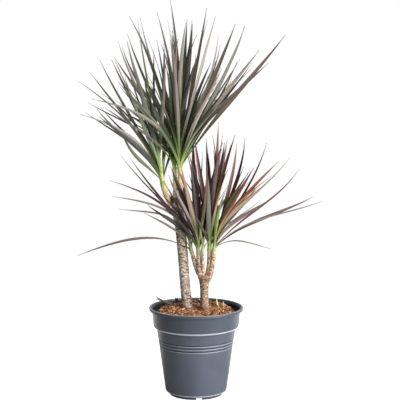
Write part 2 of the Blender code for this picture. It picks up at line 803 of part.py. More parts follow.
def main():
    clear_scene()
    parts = new_collection("dragon_tree")
    cutters = new_collection("cutters")
    pot = make_pot(parts, cutters)
    coir = make_soil(parts)
    trimmers = new_collection("limb_trimmers")
    limbs = [make_limb(name, parts, trimmers) for name in LIMBS]
    stems = {name: make_stem(name, parts) for name in HEADS}
    blades = settle_blades([pot, coir] + limbs, stems)
    for name in HEADS:
        colour = UPPER_LEAF_GREEN if name.startswith("upper") else LOWER_LEAF_MAROON
        make_head(name, stems[name], blades[name], parts, colour)


main()
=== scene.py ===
"""Looks of the potted magenta dragon tree: pot, coir, bark and every leaf, round the fixed frame.

Metres, +Z up, the front of the plant towards -Y. The sizes and rules of the solids are repeated here,
and the leaves grow on from them by the same rule, finer and more of them.
"""

import json
import math
import random

import bmesh
import bpy
import numpy as np
from mathutils import Matrix, Vector

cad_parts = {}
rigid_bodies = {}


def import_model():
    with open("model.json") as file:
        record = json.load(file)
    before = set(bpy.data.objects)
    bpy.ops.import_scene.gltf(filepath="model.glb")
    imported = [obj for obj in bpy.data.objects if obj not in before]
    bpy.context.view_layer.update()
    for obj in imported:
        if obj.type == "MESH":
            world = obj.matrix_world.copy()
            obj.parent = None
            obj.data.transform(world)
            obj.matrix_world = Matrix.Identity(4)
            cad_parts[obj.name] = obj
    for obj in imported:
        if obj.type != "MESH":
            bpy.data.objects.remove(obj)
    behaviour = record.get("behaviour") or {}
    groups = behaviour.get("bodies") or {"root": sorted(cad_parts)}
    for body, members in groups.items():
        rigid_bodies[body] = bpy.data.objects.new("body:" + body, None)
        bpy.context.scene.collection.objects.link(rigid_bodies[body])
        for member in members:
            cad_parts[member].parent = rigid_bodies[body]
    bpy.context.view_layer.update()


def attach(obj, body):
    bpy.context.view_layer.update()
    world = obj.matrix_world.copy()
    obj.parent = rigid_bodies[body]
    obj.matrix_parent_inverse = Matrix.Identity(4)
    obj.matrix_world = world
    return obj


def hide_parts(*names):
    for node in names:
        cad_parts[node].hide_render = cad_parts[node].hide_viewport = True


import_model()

JUST_UNDER_ONE = 0.999999  # keeps the last point of a grid inside its last cell
WHITE = (1, 1, 1, 1)
MAP_NAME = "OFBake"  # surface map of the pieces that lay out their own
MAP_MARGIN = 0.01  # of the map's height, at each end, for the caps
MAP_CAP = 0.004  # height on the map of the middle of a tube's first cap
LIMB_CAPS_APART = 0.991  # on the map, from the first cap to the second
LEAF_CAPS_APART = 0.99
LEAF_CAP_SIZE = (0.3, 0.003)  # half its width, of its cell, and half its height on the map
GOLDEN_ANGLE = math.radians(137.5)
UP = np.array((0.0, 0.0, 1.0))
FRONT = np.array((0.0, -1.0, 0.0))
GAP = 0.0003  # between pieces that touch

# Camera, fitted to the photograph
CAMERA_PLACE = (0.0071, -2.30, 0.640)
CAMERA_DOWN = math.radians(7.08)
CAMERA_LENS = 116.55
CAMERA_SENSOR = 36

# Light of the surroundings and of the backdrop behind the plant. The span says how squarely a way has to
# point to the back, where the backdrop begins and where it is full.
ROUND_LIGHT = 0.16
BACKDROP_LIGHT = 0.75
BACKDROP_SPAN = (0.60, 0.95)
LAMPS = (  # name, place, length of a side, energy
    ("key_light", (1.80, -1.50, 0.9), 2.3, 125),
    ("top_light", (0.1, -0.4, 2.4), 1.4, 26),
)
LIT_MIDDLE = (0, 0, 0.35)  # what the lamps shine at
FLOOR_RADIUS = 1.6
FLOOR_FADE = (0.25, 0.95)  # shares of its radius, between which it fades out
FLOOR_WHITE = (0.03, 0.35)  # how far behind the pot's middle it begins to glow, and glows most
FLOOR_GLOW = 1.3
FLOOR_GLOW_SEEN = 0.95  # least glow as the camera sees it
FLOOR_SIDES = 96
FLOOR_GREYS = ((0.48, 0.48, 0.48, 1), (0.50, 0.50, 0.50, 1))

# Pot, as in the solids, with finer roundings
POT_STEPS = 192
WALL = 0.0016
RIM_Z = 0.160
RIM_RADIUS = 0.085
MOUTH_RADIUS = 0.0815
RIM_BEAD = 0.0050
COLLAR_TOP_RADIUS = 0.0800
COLLAR_FOOT_RADIUS = 0.0774
COLLAR_FOOT_Z = 0.1271
LEDGE_Z = 0.1231
BODY_TOP_RADIUS = 0.0717
BODY_FOOT_RADIUS = 0.0554
BODY_FOOT_Z = 0.0085
GROOVES_Z = (0.1022, 0.0966, 0.0910)
GROOVE_DEPTH = 0.0011
GROOVE_WIDTH = 0.0028
FLOOR_Z = 0.0045
FOOT_OUTER_RADIUS = 0.0485
FOOT_INNER_RADIUS = 0.0440
DISC_RADIUS = 0.0200
FOOT_SLOTS = 4
FOOT_SLOT_WIDTH = 0.011
FOOT_SLOT_HEIGHT = 0.0040
FIRST_SLOT_ANGLE = math.radians(-83.5)
DRAIN_HOLES = 8
DRAIN_HOLE_RADIUS = 0.0040
DRAIN_CIRCLE_RADIUS = 0.0315
CORNER_ROUND = 0.0006
CORNER_STEPS = 4
CORNER_SHARE = 0.45  # the most of an edge that the rounding at one of its ends takes
POT_SMOOTH = 35  # degrees between faces, over which the edge between them shows
MERGE_DISTANCE = 0.00001
CUTTER_OVERRUN = 0.003  # by which a slot's cutter stands out of the foot ring, inside and outside
HOLE_CUTTER_LENGTH = 0.012
HOLE_SIDES = 32
POT_PAINTED_HIGHLIGHTS = (  # painted highlights: height, half the band's height, and how strongly the highlight is laid
    (RIM_Z, 0.0006, 0.25),
    (LEDGE_Z + 0.0012, 0.0024, 0.95),
    *[(z - 0.0014, 0.0009, 0.32) for z in GROOVES_Z],
    (BODY_FOOT_Z - 0.0012, 0.0014, 0.85),
)
GROOVE_PAINTED_SHADE = (0.0013, 0.85)  # half the height of the painted shade line in a groove, and how dark it is

# Tones of the pot, as a screen shows them
SLATE = ((78, 84, 95), (84, 90, 102))  # clouded from one to the other
SLATE_GRAIN = (92, 97, 106)
# painted shade: the collar darker than the body, for the darker surroundings it reflects
SLATE_COLLAR_SHADE = (66, 72, 82)
# painted shade inside the collar, over the coir
SLATE_INSIDE_SHADE = (34, 40, 50)
# pale tone of the painted highlights on the pot's edges
PAINTED_HIGHLIGHT = (204, 208, 220)
# tone of the painted shade in the grooves
GROOVE_SHADE_TONE = (24, 27, 34)

# Coir: level round the canes, lower at the left and right wall than at front and back
SOIL_Z = 0.1570
SOIL_LEVEL_RADIUS = 0.038
SOIL_DROP_MEAN = 0.0080
SOIL_DROP_SWING = 0.0045
SOIL_WALL_RADIUS = COLLAR_FOOT_RADIUS - WALL - GAP
SOIL_RINGS = 64
SOIL_STEPS = 200
SOIL_SEED = 7
SOIL_FIRST_RADIUS = 0.0015  # of the innermost ring
SOIL_RELIEF = 0.0026
SOIL_NOISE = (  # cells along the radius and round the pot, and their share of the relief
    ((9, 22), 0.55),
    ((22, 60), 0.35),
    ((60, 199), 0.22),
)
SOIL_FADE = 0.004  # from the wall inwards, over which the relief grows
SOIL_WALL_RELIEF = 0.35  # share of the relief that is left at the wall
SOIL_HOLLOWS = (  # x, y, radius, depth
    (-0.0375, 0.0560, 0.0095, 0.0060),
    (-0.0010, 0.0540, 0.0105, 0.0060),
)
SOIL_HEAPS = (  # x, y, radius, height
    (-0.050, 0.048, 0.0120, 0.0040),
    (-0.018, 0.064, 0.0110, 0.0050),
    (0.013, 0.064, 0.0110, 0.0045),
    (0.045, 0.040, 0.0160, 0.0025),
)
COARSE_SMOOTH = 60  # degrees between faces, like POT_SMOOTH, on coir and bark
COIR = ((80, 50, 38), (168, 112, 82))  # from the gaps between crumbs to the crumbs; the dark gaps are partly the coir's own mottle, partly painted shade
COIR_CLODS = (182, 124, 88)
# painted shade in the coir's hollows and low places
COIR_HOLLOW_SHADE = (34, 17, 12)
SHADE_MIDDLE = 0.5  # lower is darker
SHADE_OF_RELIEF = 0.55  # by which the top of the relief is lighter
SHADE_OF_HOLLOW = 0.9  # by which the middle of a hollow is darker

# Loose chips, each a box with its corners moved; lengths in metres, width and height as shares of the length
CHIPS = 3200
CHIP_SEED = 17
CHIP_MARGIN = 0.0025  # from the pot's wall
CHIP_CLEARANCE = 0.0015  # from the canes
CHIP_LENGTH = (0.0007, 0.0022)
CHIP_WIDTH = (0.25, 0.65)
CHIP_HEIGHT = (0.12, 0.35)
LONG_CHIP = 1.9  # times as long as the others
LONG_CHIP_SHARE = 0.10
CHIP_JITTER = (0.55, 1.15)  # by which each coordinate of a corner is multiplied
CHIP_TILT = 0.45  # radians, of which a chip's tip and roll are usually less
CHIP_LIFT = 0.0024  # the most by which a chip's middle lies above the coir
HOLLOW_SHADE_SHARE = 0.85  # of the chips in a hollow, which take the dark tone as painted shade
CHIP_TONES = {
    "coir_rust": (176, 116, 80),
    "coir_orange": (214, 156, 112),
    "coir_brown": (124, 84, 60),
    "coir_dark": (40, 28, 24),
    "coir_pale": (224, 190, 156),
}
CHIP_SHARES = (0.33, 0.25, 0.20, 0.13, 0.09)
BOX_CORNERS = np.array([(x, y, z) for z in (-1, 1) for x, y in ((-1, -1), (1, -1), (1, 1), (-1, 1))], float)
BOX_FACES = np.array([(3, 2, 1, 0), (4, 5, 6, 7), (0, 1, 5, 4), (1, 2, 6, 5), (2, 3, 7, 6), (3, 0, 4, 7)])

# Loose fibres
FIBRES = 420
FIBRE_SEED = 23
FIBRE_MARGIN = 0.006
FIBRE_CLEARANCE = 0.002
FIBRE_END_MARGIN = 0.001  # nearer to the wall than this, no point of a fibre comes
FIBRE_LENGTH = (0.006, 0.016)
FIBRE_BEND = 1.4  # radians from end to end
FIBRE_RISE = (0.0006, 0.0030)
FIBRE_LIFT = 0.0014
FIBRE_RADII = (0.00022, 0.00008)
FIBRE_POINTS = 6
FIBRE_SIDES = 3
FIBRE_TONES = {"fibre_tan": (190, 138, 92), "fibre_brown": (112, 66, 40)}
ASKEW = (0.31, 0.17, 0.94)  # a way that no strand runs

# What stands on the coir: tone, sides, radii from start to end, start, the point it bends towards, and end
LITTER_SEED = 29
LITTER_TONES = {"dry_twig": (150, 120, 90), "sprout": (228, 214, 162), "dark_stub": (62, 42, 36)}
LITTER = (
    ("dry_twig", 8, np.linspace(0.0021, 0.0015, 9),
     (-0.040, 0.033, 0.1535), (-0.055, 0.036, 0.1605), (-0.0725, 0.038, 0.1690)),
    ("dry_twig", 6, np.linspace(0.0013, 0.0005, 6),
     (-0.066, 0.037, 0.1650), (-0.072, 0.038, 0.1690), (-0.0745, 0.039, 0.1725)),
    ("dry_twig", 6, np.linspace(0.0012, 0.0005, 6),
     (-0.064, 0.037, 0.1640), (-0.071, 0.037, 0.1650), (-0.0755, 0.037, 0.1655)),
    ("dark_stub", 8, (0.0042, 0.0036, 0.0028, 0.0022, 0.0017, 0.0006),
     (-0.0355, 0.034, 0.152), (-0.0360, 0.0345, 0.160), (-0.0372, 0.036, 0.1705)),
    ("dark_stub", 7, (0.0014, 0.0014, 0.0012, 0.0010, 0.0007, 0.0003),
     (-0.0355, 0.034, 0.161), (-0.0340, 0.0345, 0.167), (-0.0333, 0.035, 0.1715)),
    ("sprout", 10, (0.0017, 0.0019, 0.0018, 0.0017, 0.0015, 0.0012, 0.0009, 0.0006, 0.0002),
     (0.0395, 0.018, 0.153), (0.0385, 0.018, 0.164), (0.0360, 0.0185, 0.1752)),
    ("sprout", 10, (0.0017, 0.0018, 0.0016, 0.0013, 0.0010, 0.0006, 0.0002),
     (0.0500, 0.018, 0.152), (0.0502, 0.018, 0.160), (0.0490, 0.0185, 0.1665)),
)
ROOTLETS = 26
ROOTLET_SPREAD = 0.5  # radians, of their places round the left and the right of the pot
ROOTLET_MARGIN = (0.003, 0.012)  # from the wall
ROOTLET_REACH = 0.012
ROOTLET_ARCH = (0.001, 0.004)
ROOTLET_INWARD = (0.97, 0.97, 1)
ROOTLET_ENDS = (0.001, 0.0005)  # how far its start lies above the coir, and its end above its start
ROOTLET_RADII = np.linspace(0.0004, 0.0002, 7)
ROOTLET_SIDES = 5

# Canes and shoots, as in the solids: where each begins and ends, the way it sets out and arrives, and
# its radius at equal steps along it
LIMBS = {
    "tall_cane": dict(
        start=(-0.015, 0.002, SOIL_Z + GAP), end=(-0.0385, 0.001, 0.3600),
        sets_out=(-0.15, 0, 1), arrives=(-0.26, 0, 1),
        radii=(0.0096, 0.0091, 0.0089, 0.0088, 0.0089, 0.0090, 0.0092, 0.0096, 0.0100, 0.0082),
    ),
    "short_cane": dict(
        start=(0.0157, -0.013, SOIL_Z + GAP), end=(0.0155, -0.013, 0.2210),
        sets_out=(-0.06, 0, 1), arrives=(0.04, 0, 1),
        radii=(0.0081, 0.0076, 0.0074, 0.0073, 0.0075, 0.0084, 0.0102, 0.0085),
    ),
    "upper_left_shoot": dict(
        start=(-0.0430, 0.003, 0.3440), end=(-0.0585, 0.004, 0.3790),
        sets_out=(-0.60, 0, 1), arrives=(-0.22, 0, 1),
        radii=(0.0054, 0.0055, 0.0052, 0.0049, 0.0047),
    ),
    "upper_middle_shoot": dict(
        start=(-0.0375, 0.001, 0.3500), end=(-0.0380, 0.001, 0.4080),
        sets_out=(0.05, 0, 1), arrives=(-0.06, 0, 1),
        radii=(0.0043, 0.0042, 0.0040, 0.0039),
    ),
    "upper_right_shoot": dict(
        start=(-0.0290, -0.005, 0.3390), end=(-0.0285, -0.009, 0.4050),
        sets_out=(0.10, -0.05, 1), arrives=(-0.06, -0.03, 1),
        radii=(0.0045, 0.0044, 0.0042, 0.0040),
    ),
    "lower_left_shoot": dict(
        start=(0.0110, -0.013, 0.2120), end=(0.0044, -0.013, 0.2586),
        sets_out=(-0.30, 0, 1), arrives=(-0.02, 0, 1),
        radii=(0.0062, 0.0064, 0.0056, 0.0048, 0.0042, 0.0038),
    ),
    "lower_far_left_shoot": dict(
        start=(0.0050, -0.010, 0.2220), end=(-0.0072, -0.009, 0.2604),
        sets_out=(-0.42, 0.10, 1), arrives=(-0.26, 0, 1),
        radii=(0.0046, 0.0043, 0.0038, 0.0034),
    ),
    "lower_middle_shoot": dict(
        start=(0.0125, -0.016, 0.2180), end=(0.0120, -0.017, 0.2622),
        sets_out=(-0.02, -0.08, 1), arrives=(0.01, 0, 1),
        radii=(0.0034, 0.0032, 0.0030, 0.0029),
    ),
    "lower_right_shoot": dict(
        start=(0.0205, -0.012, 0.2120), end=(0.0239, -0.011, 0.2640),
        sets_out=(0.22, 0, 1), arrives=(-0.02, 0.02, 1),
        radii=(0.0060, 0.0060, 0.0048, 0.0041, 0.0038),
    ),
    "lower_far_right_shoot": dict(
        start=(0.0230, -0.014, 0.2160), end=(0.0320, -0.015, 0.2640),
        sets_out=(0.34, 0, 1), arrives=(0.08, 0, 1),
        radii=(0.0056, 0.0054, 0.0044, 0.0040, 0.0037),
    ),
}

# Bark. Scars: spacing along the limb, height, half their turn round it, and depth. Tones as a screen shows
# them: pale, tan and brown.
CANES = {
    "tall_cane": dict(
        tones=((234, 220, 204), (202, 180, 158), (98, 72, 56)),
        bark=dict(
            columns=120, scars=dict(spacing=0.00055, tall=0.0044, half_turn=0.45, depth=0.00060),
            seed=3, ragged_top=0.0035, top_dark=0.18,
        ),
    ),
    "short_cane": dict(
        tones=((204, 178, 150), (170, 134, 106), (88, 54, 38)),
        bark=dict(
            columns=112, scars=dict(spacing=0.00055, tall=0.0036, half_turn=0.42, depth=0.00050),
            seed=5, top_dark=0.25,
        ),
    ),
}
CANE_STEP = 0.0005
CANE_FOOT = ((0.004, 1.10), (0.002, 1.06))  # how far down in the coir, and how flared
SHOOT_SCARS = dict(spacing=0.0011, tall=0.0026, half_turn=0.62, depth=0.00030)
SHOOT_COLUMNS = 48
SHOOT_STEP = 0.0007
SHOOT_STEP_SHARE = 0.6  # of the steps of shoot and stem together, which lie on the shoot
SHOOT_STEM = np.linspace(0.04, 0.98, 40)  # heights on the stem of its head
FIRST_SHOOT_SEED = 11
RIDGE_HEIGHT = 0.40  # these three as shares of the scar's height
GROOVE_BELOW = 0.52
GROOVE_HEIGHT = 0.30
GROOVE_SHADES = (0.5, 0.9, 1.3)
MOST_RELIEF = 1.2  # share of the scars' depth
LEAST_LUMP_ROWS = 4
LUMP_HEIGHT = 0.006
LUMP_SHARE = 0.045  # of the radius
LUMPS_ROUND = 5
CRUST_SHARE = 0.16  # of the scars' depth
CRUST_ROWS = 5  # in the height of a lump
CRUST_ROUND = 26
SPLINTERS = 17
SLANT_TOWARDS = 2.6  # heading of the cut top's highest side, in radians
SLANT_SHARE = 0.55  # the rest of the cut's unevenness is splinters
CUT_SPAN = (0.90, 0.10)  # share of the height where the cut begins, and over which it grows
CUT_DARK_SPAN = (0.925, 0.06)
CUT_DARK = 1.10
# where a cane darkens towards its top: partly a browner bark, partly painted shade under the crown
TOP_DARK_SPAN = (0.62, 0.30)
TOP_RINGS = ((0.8, 0.0006), (0.4, 0.0016))  # share of the top's radius, and depth, where its face sinks in
NET_ROUGH_SCALE = 260.0  # of the noise that makes the lines of a net rough

# Leaves, by the rule of the solids
LEAF_WIDTH = 0.0122
FULL_WIDTH_LENGTH = 0.13
LEAF_ROOT_WIDTH = 0.40
FULL_WIDTH_AT = 0.46  # share of the length from the root
LEAF_TAPER = 3.1  # fuller towards the tip than on the plain solids
LEAF_SMOOTH = 27  # degrees between faces, over which the edge between them shows
LEAF_TURN = math.radians(55)
LEAF_SWAY = 0.03
LEAF_WAVE = 0.085  # of a level leaf's length, by which its outer half hangs before its tip turns up
LEAST_SHOWN = 0.35  # share of its width that any reaching leaf shows to the front
ROOTS_LOW = 2.4  # power that crowds the roots towards the foot of the stem
ROOT_RISE = 0.0048
ROOT_TOP = 0.93
SWINGS = (0, 8, -8, 16, -16, 24, -24, 32, -32)
SHEATH_DROP = 0.0050  # from the root down to where the leaf's foot begins on the stem's skin
SHEATH_LENGTH = 0.015  # of the foot that leaves the skin little by little
CLASP_ANGLE = 1.30  # half the angle by which the foot clasps the stem
LEAF_THICKNESS = 0.00055
LEAF_EDGE = 0.00014
LEAF_TIP_THICKNESS = 0.25  # share of the thickness further down
LEAST_HALF_WIDTH = 0.0005
CLASP_GAP = 0.0004
FOLD_LOSS = 0.6  # share of its fold that a leaf has lost at its tip
LEAF_CLEARANCE = 0.0009  # of a leaf from any limb but its own, to leave room for the bark's relief
FOOT_STATIONS = 4  # which lie on the stem's skin, where no clearance is asked
CLOUD_STEPS = 50
STEM_CLOUD_STEPS = 20
CURL_SCALE = 6.75  # which makes a curl of 1 lift the leaf by its length, two thirds along it
MIDDLE_CURL = 0.84  # share of the curl that is reached halfway along
HALF_CELL = 0.46  # of a cell's width on the map, from a leaf's midrib to its edge

STATIONS = np.concatenate([
    np.linspace(0.00, 0.16, 10)[:-1],
    np.linspace(0.16, 0.84, 13)[:-1],
    np.linspace(0.84, 1.00, 7),
])
SECTION = np.array((1, 0.66, 0.33, 0, -0.33, -0.66, -1, -0.66, -0.33, 0, 0.33, 0.66))
FROM_MIDRIB = np.rint(abs(SECTION) * 3).astype(int)  # steps of a third of half the width
UPPER_FACES = 6  # of the section's twelve, the rest are the underside

# How leaves differ
WIDTH_SPREAD = (0.80, 1.12)
LENGTH_SPREAD = (0.86, 1.10)
FOLD_SPREAD = (0.25, 0.60)
CURL_SPREAD = 0.016
LEAN_SPREAD = 6  # degrees
RIGHT_HAND = 0.3  # cosine of the heading, over which a leaf grows to the right
FIRST_OF_SPIRAL = 0.6  # place of the first leaf, where 0 is the lowest and each next is one on
FIRST_REACHING = 0.35

# Tones of whole leaves, as a screen shows them: blade, band along the midrib, edge and underside
TONES = {
    "slate": ((73, 81, 74), (106, 126, 80), (66, 52, 50), (128, 126, 116)),
    "mauve": ((120, 109, 103), (132, 139, 102), (78, 54, 57), (154, 143, 135)),
    "olive": ((86, 89, 60), (108, 130, 68), (80, 56, 48), (132, 130, 108)),
    "umber": ((114, 96, 84), (120, 124, 80), (84, 56, 52), (150, 136, 124)),
    "plum": ((66, 46, 49), (84, 80, 58), (88, 42, 48), (92, 74, 76)),
    "dusk": ((104, 84, 78), (124, 108, 94), (86, 58, 58), (140, 124, 116)),
    "lilac": ((146, 130, 132), (150, 138, 130), (100, 70, 78), (172, 158, 158)),
    "ash": ((150, 140, 128), (150, 160, 118), (92, 66, 64), (180, 170, 158)),
    "moss": ((68, 90, 60), (110, 143, 72), (70, 53, 48), (122, 128, 106)),
    "ink": ((51, 55, 56), (68, 82, 64), (58, 44, 48), (84, 83, 82)),
    "wine": ((82, 38, 42), (96, 64, 50), (116, 42, 48), (104, 64, 66)),
    "rust": ((118, 58, 42), (130, 90, 50), (118, 46, 40), (126, 76, 58)),
    "rose": ((156, 124, 108), (142, 144, 92), (140, 76, 72), (170, 146, 128)),
    "ochre": ((164, 114, 58), (164, 146, 66), (140, 64, 42), (172, 138, 92)),
    "lime": ((100, 122, 54), (138, 174, 74), (116, 70, 54), (124, 148, 82)),
    "tan": ((148, 124, 104), (146, 154, 92), (128, 70, 64), (170, 152, 130)),
}
UPPER_TONES = ("slate", "mauve", "olive", "umber", "plum", "ash", "moss", "ink")
LOWER_TONES = (
    "wine", "mauve", "rust", "rose", "ochre", "lime", "plum", "ink", "tan", "slate", "dusk", "lilac", "olive",
)
FRESH_GREEN = (114, 148, 62)
LEAF_TIP = (98, 78, 68)
FOOT_RIB_SHARE = 0.25  # of the midrib's tone in the foot's

# How far up the fresh foot reaches in some tones, against the others
FRESH_SHARE = {"dusk": 0.2, "lilac": 0.5, "wine": 0.7, "plum": 0.8, "ink": 0.8, "rose": 1.6, "tan": 1.3}

# The two crowns: tones of their leaves, tone and reach of the leaves' fresh foot, and the bark of their
# shoots at its foot, under the leaves, and in its spots
CROWNS = {
    "upper": dict(
        tones=UPPER_TONES, foot=(222, 236, 132), foot_reach=0.20,
        bark=((250, 238, 196), (214, 224, 140), (178, 150, 108)),
    ),
    "lower": dict(
        tones=LOWER_TONES, foot=(176, 190, 112), foot_reach=0.18,
        bark=((230, 214, 184), (204, 210, 132), (98, 70, 52)),
    ),
}

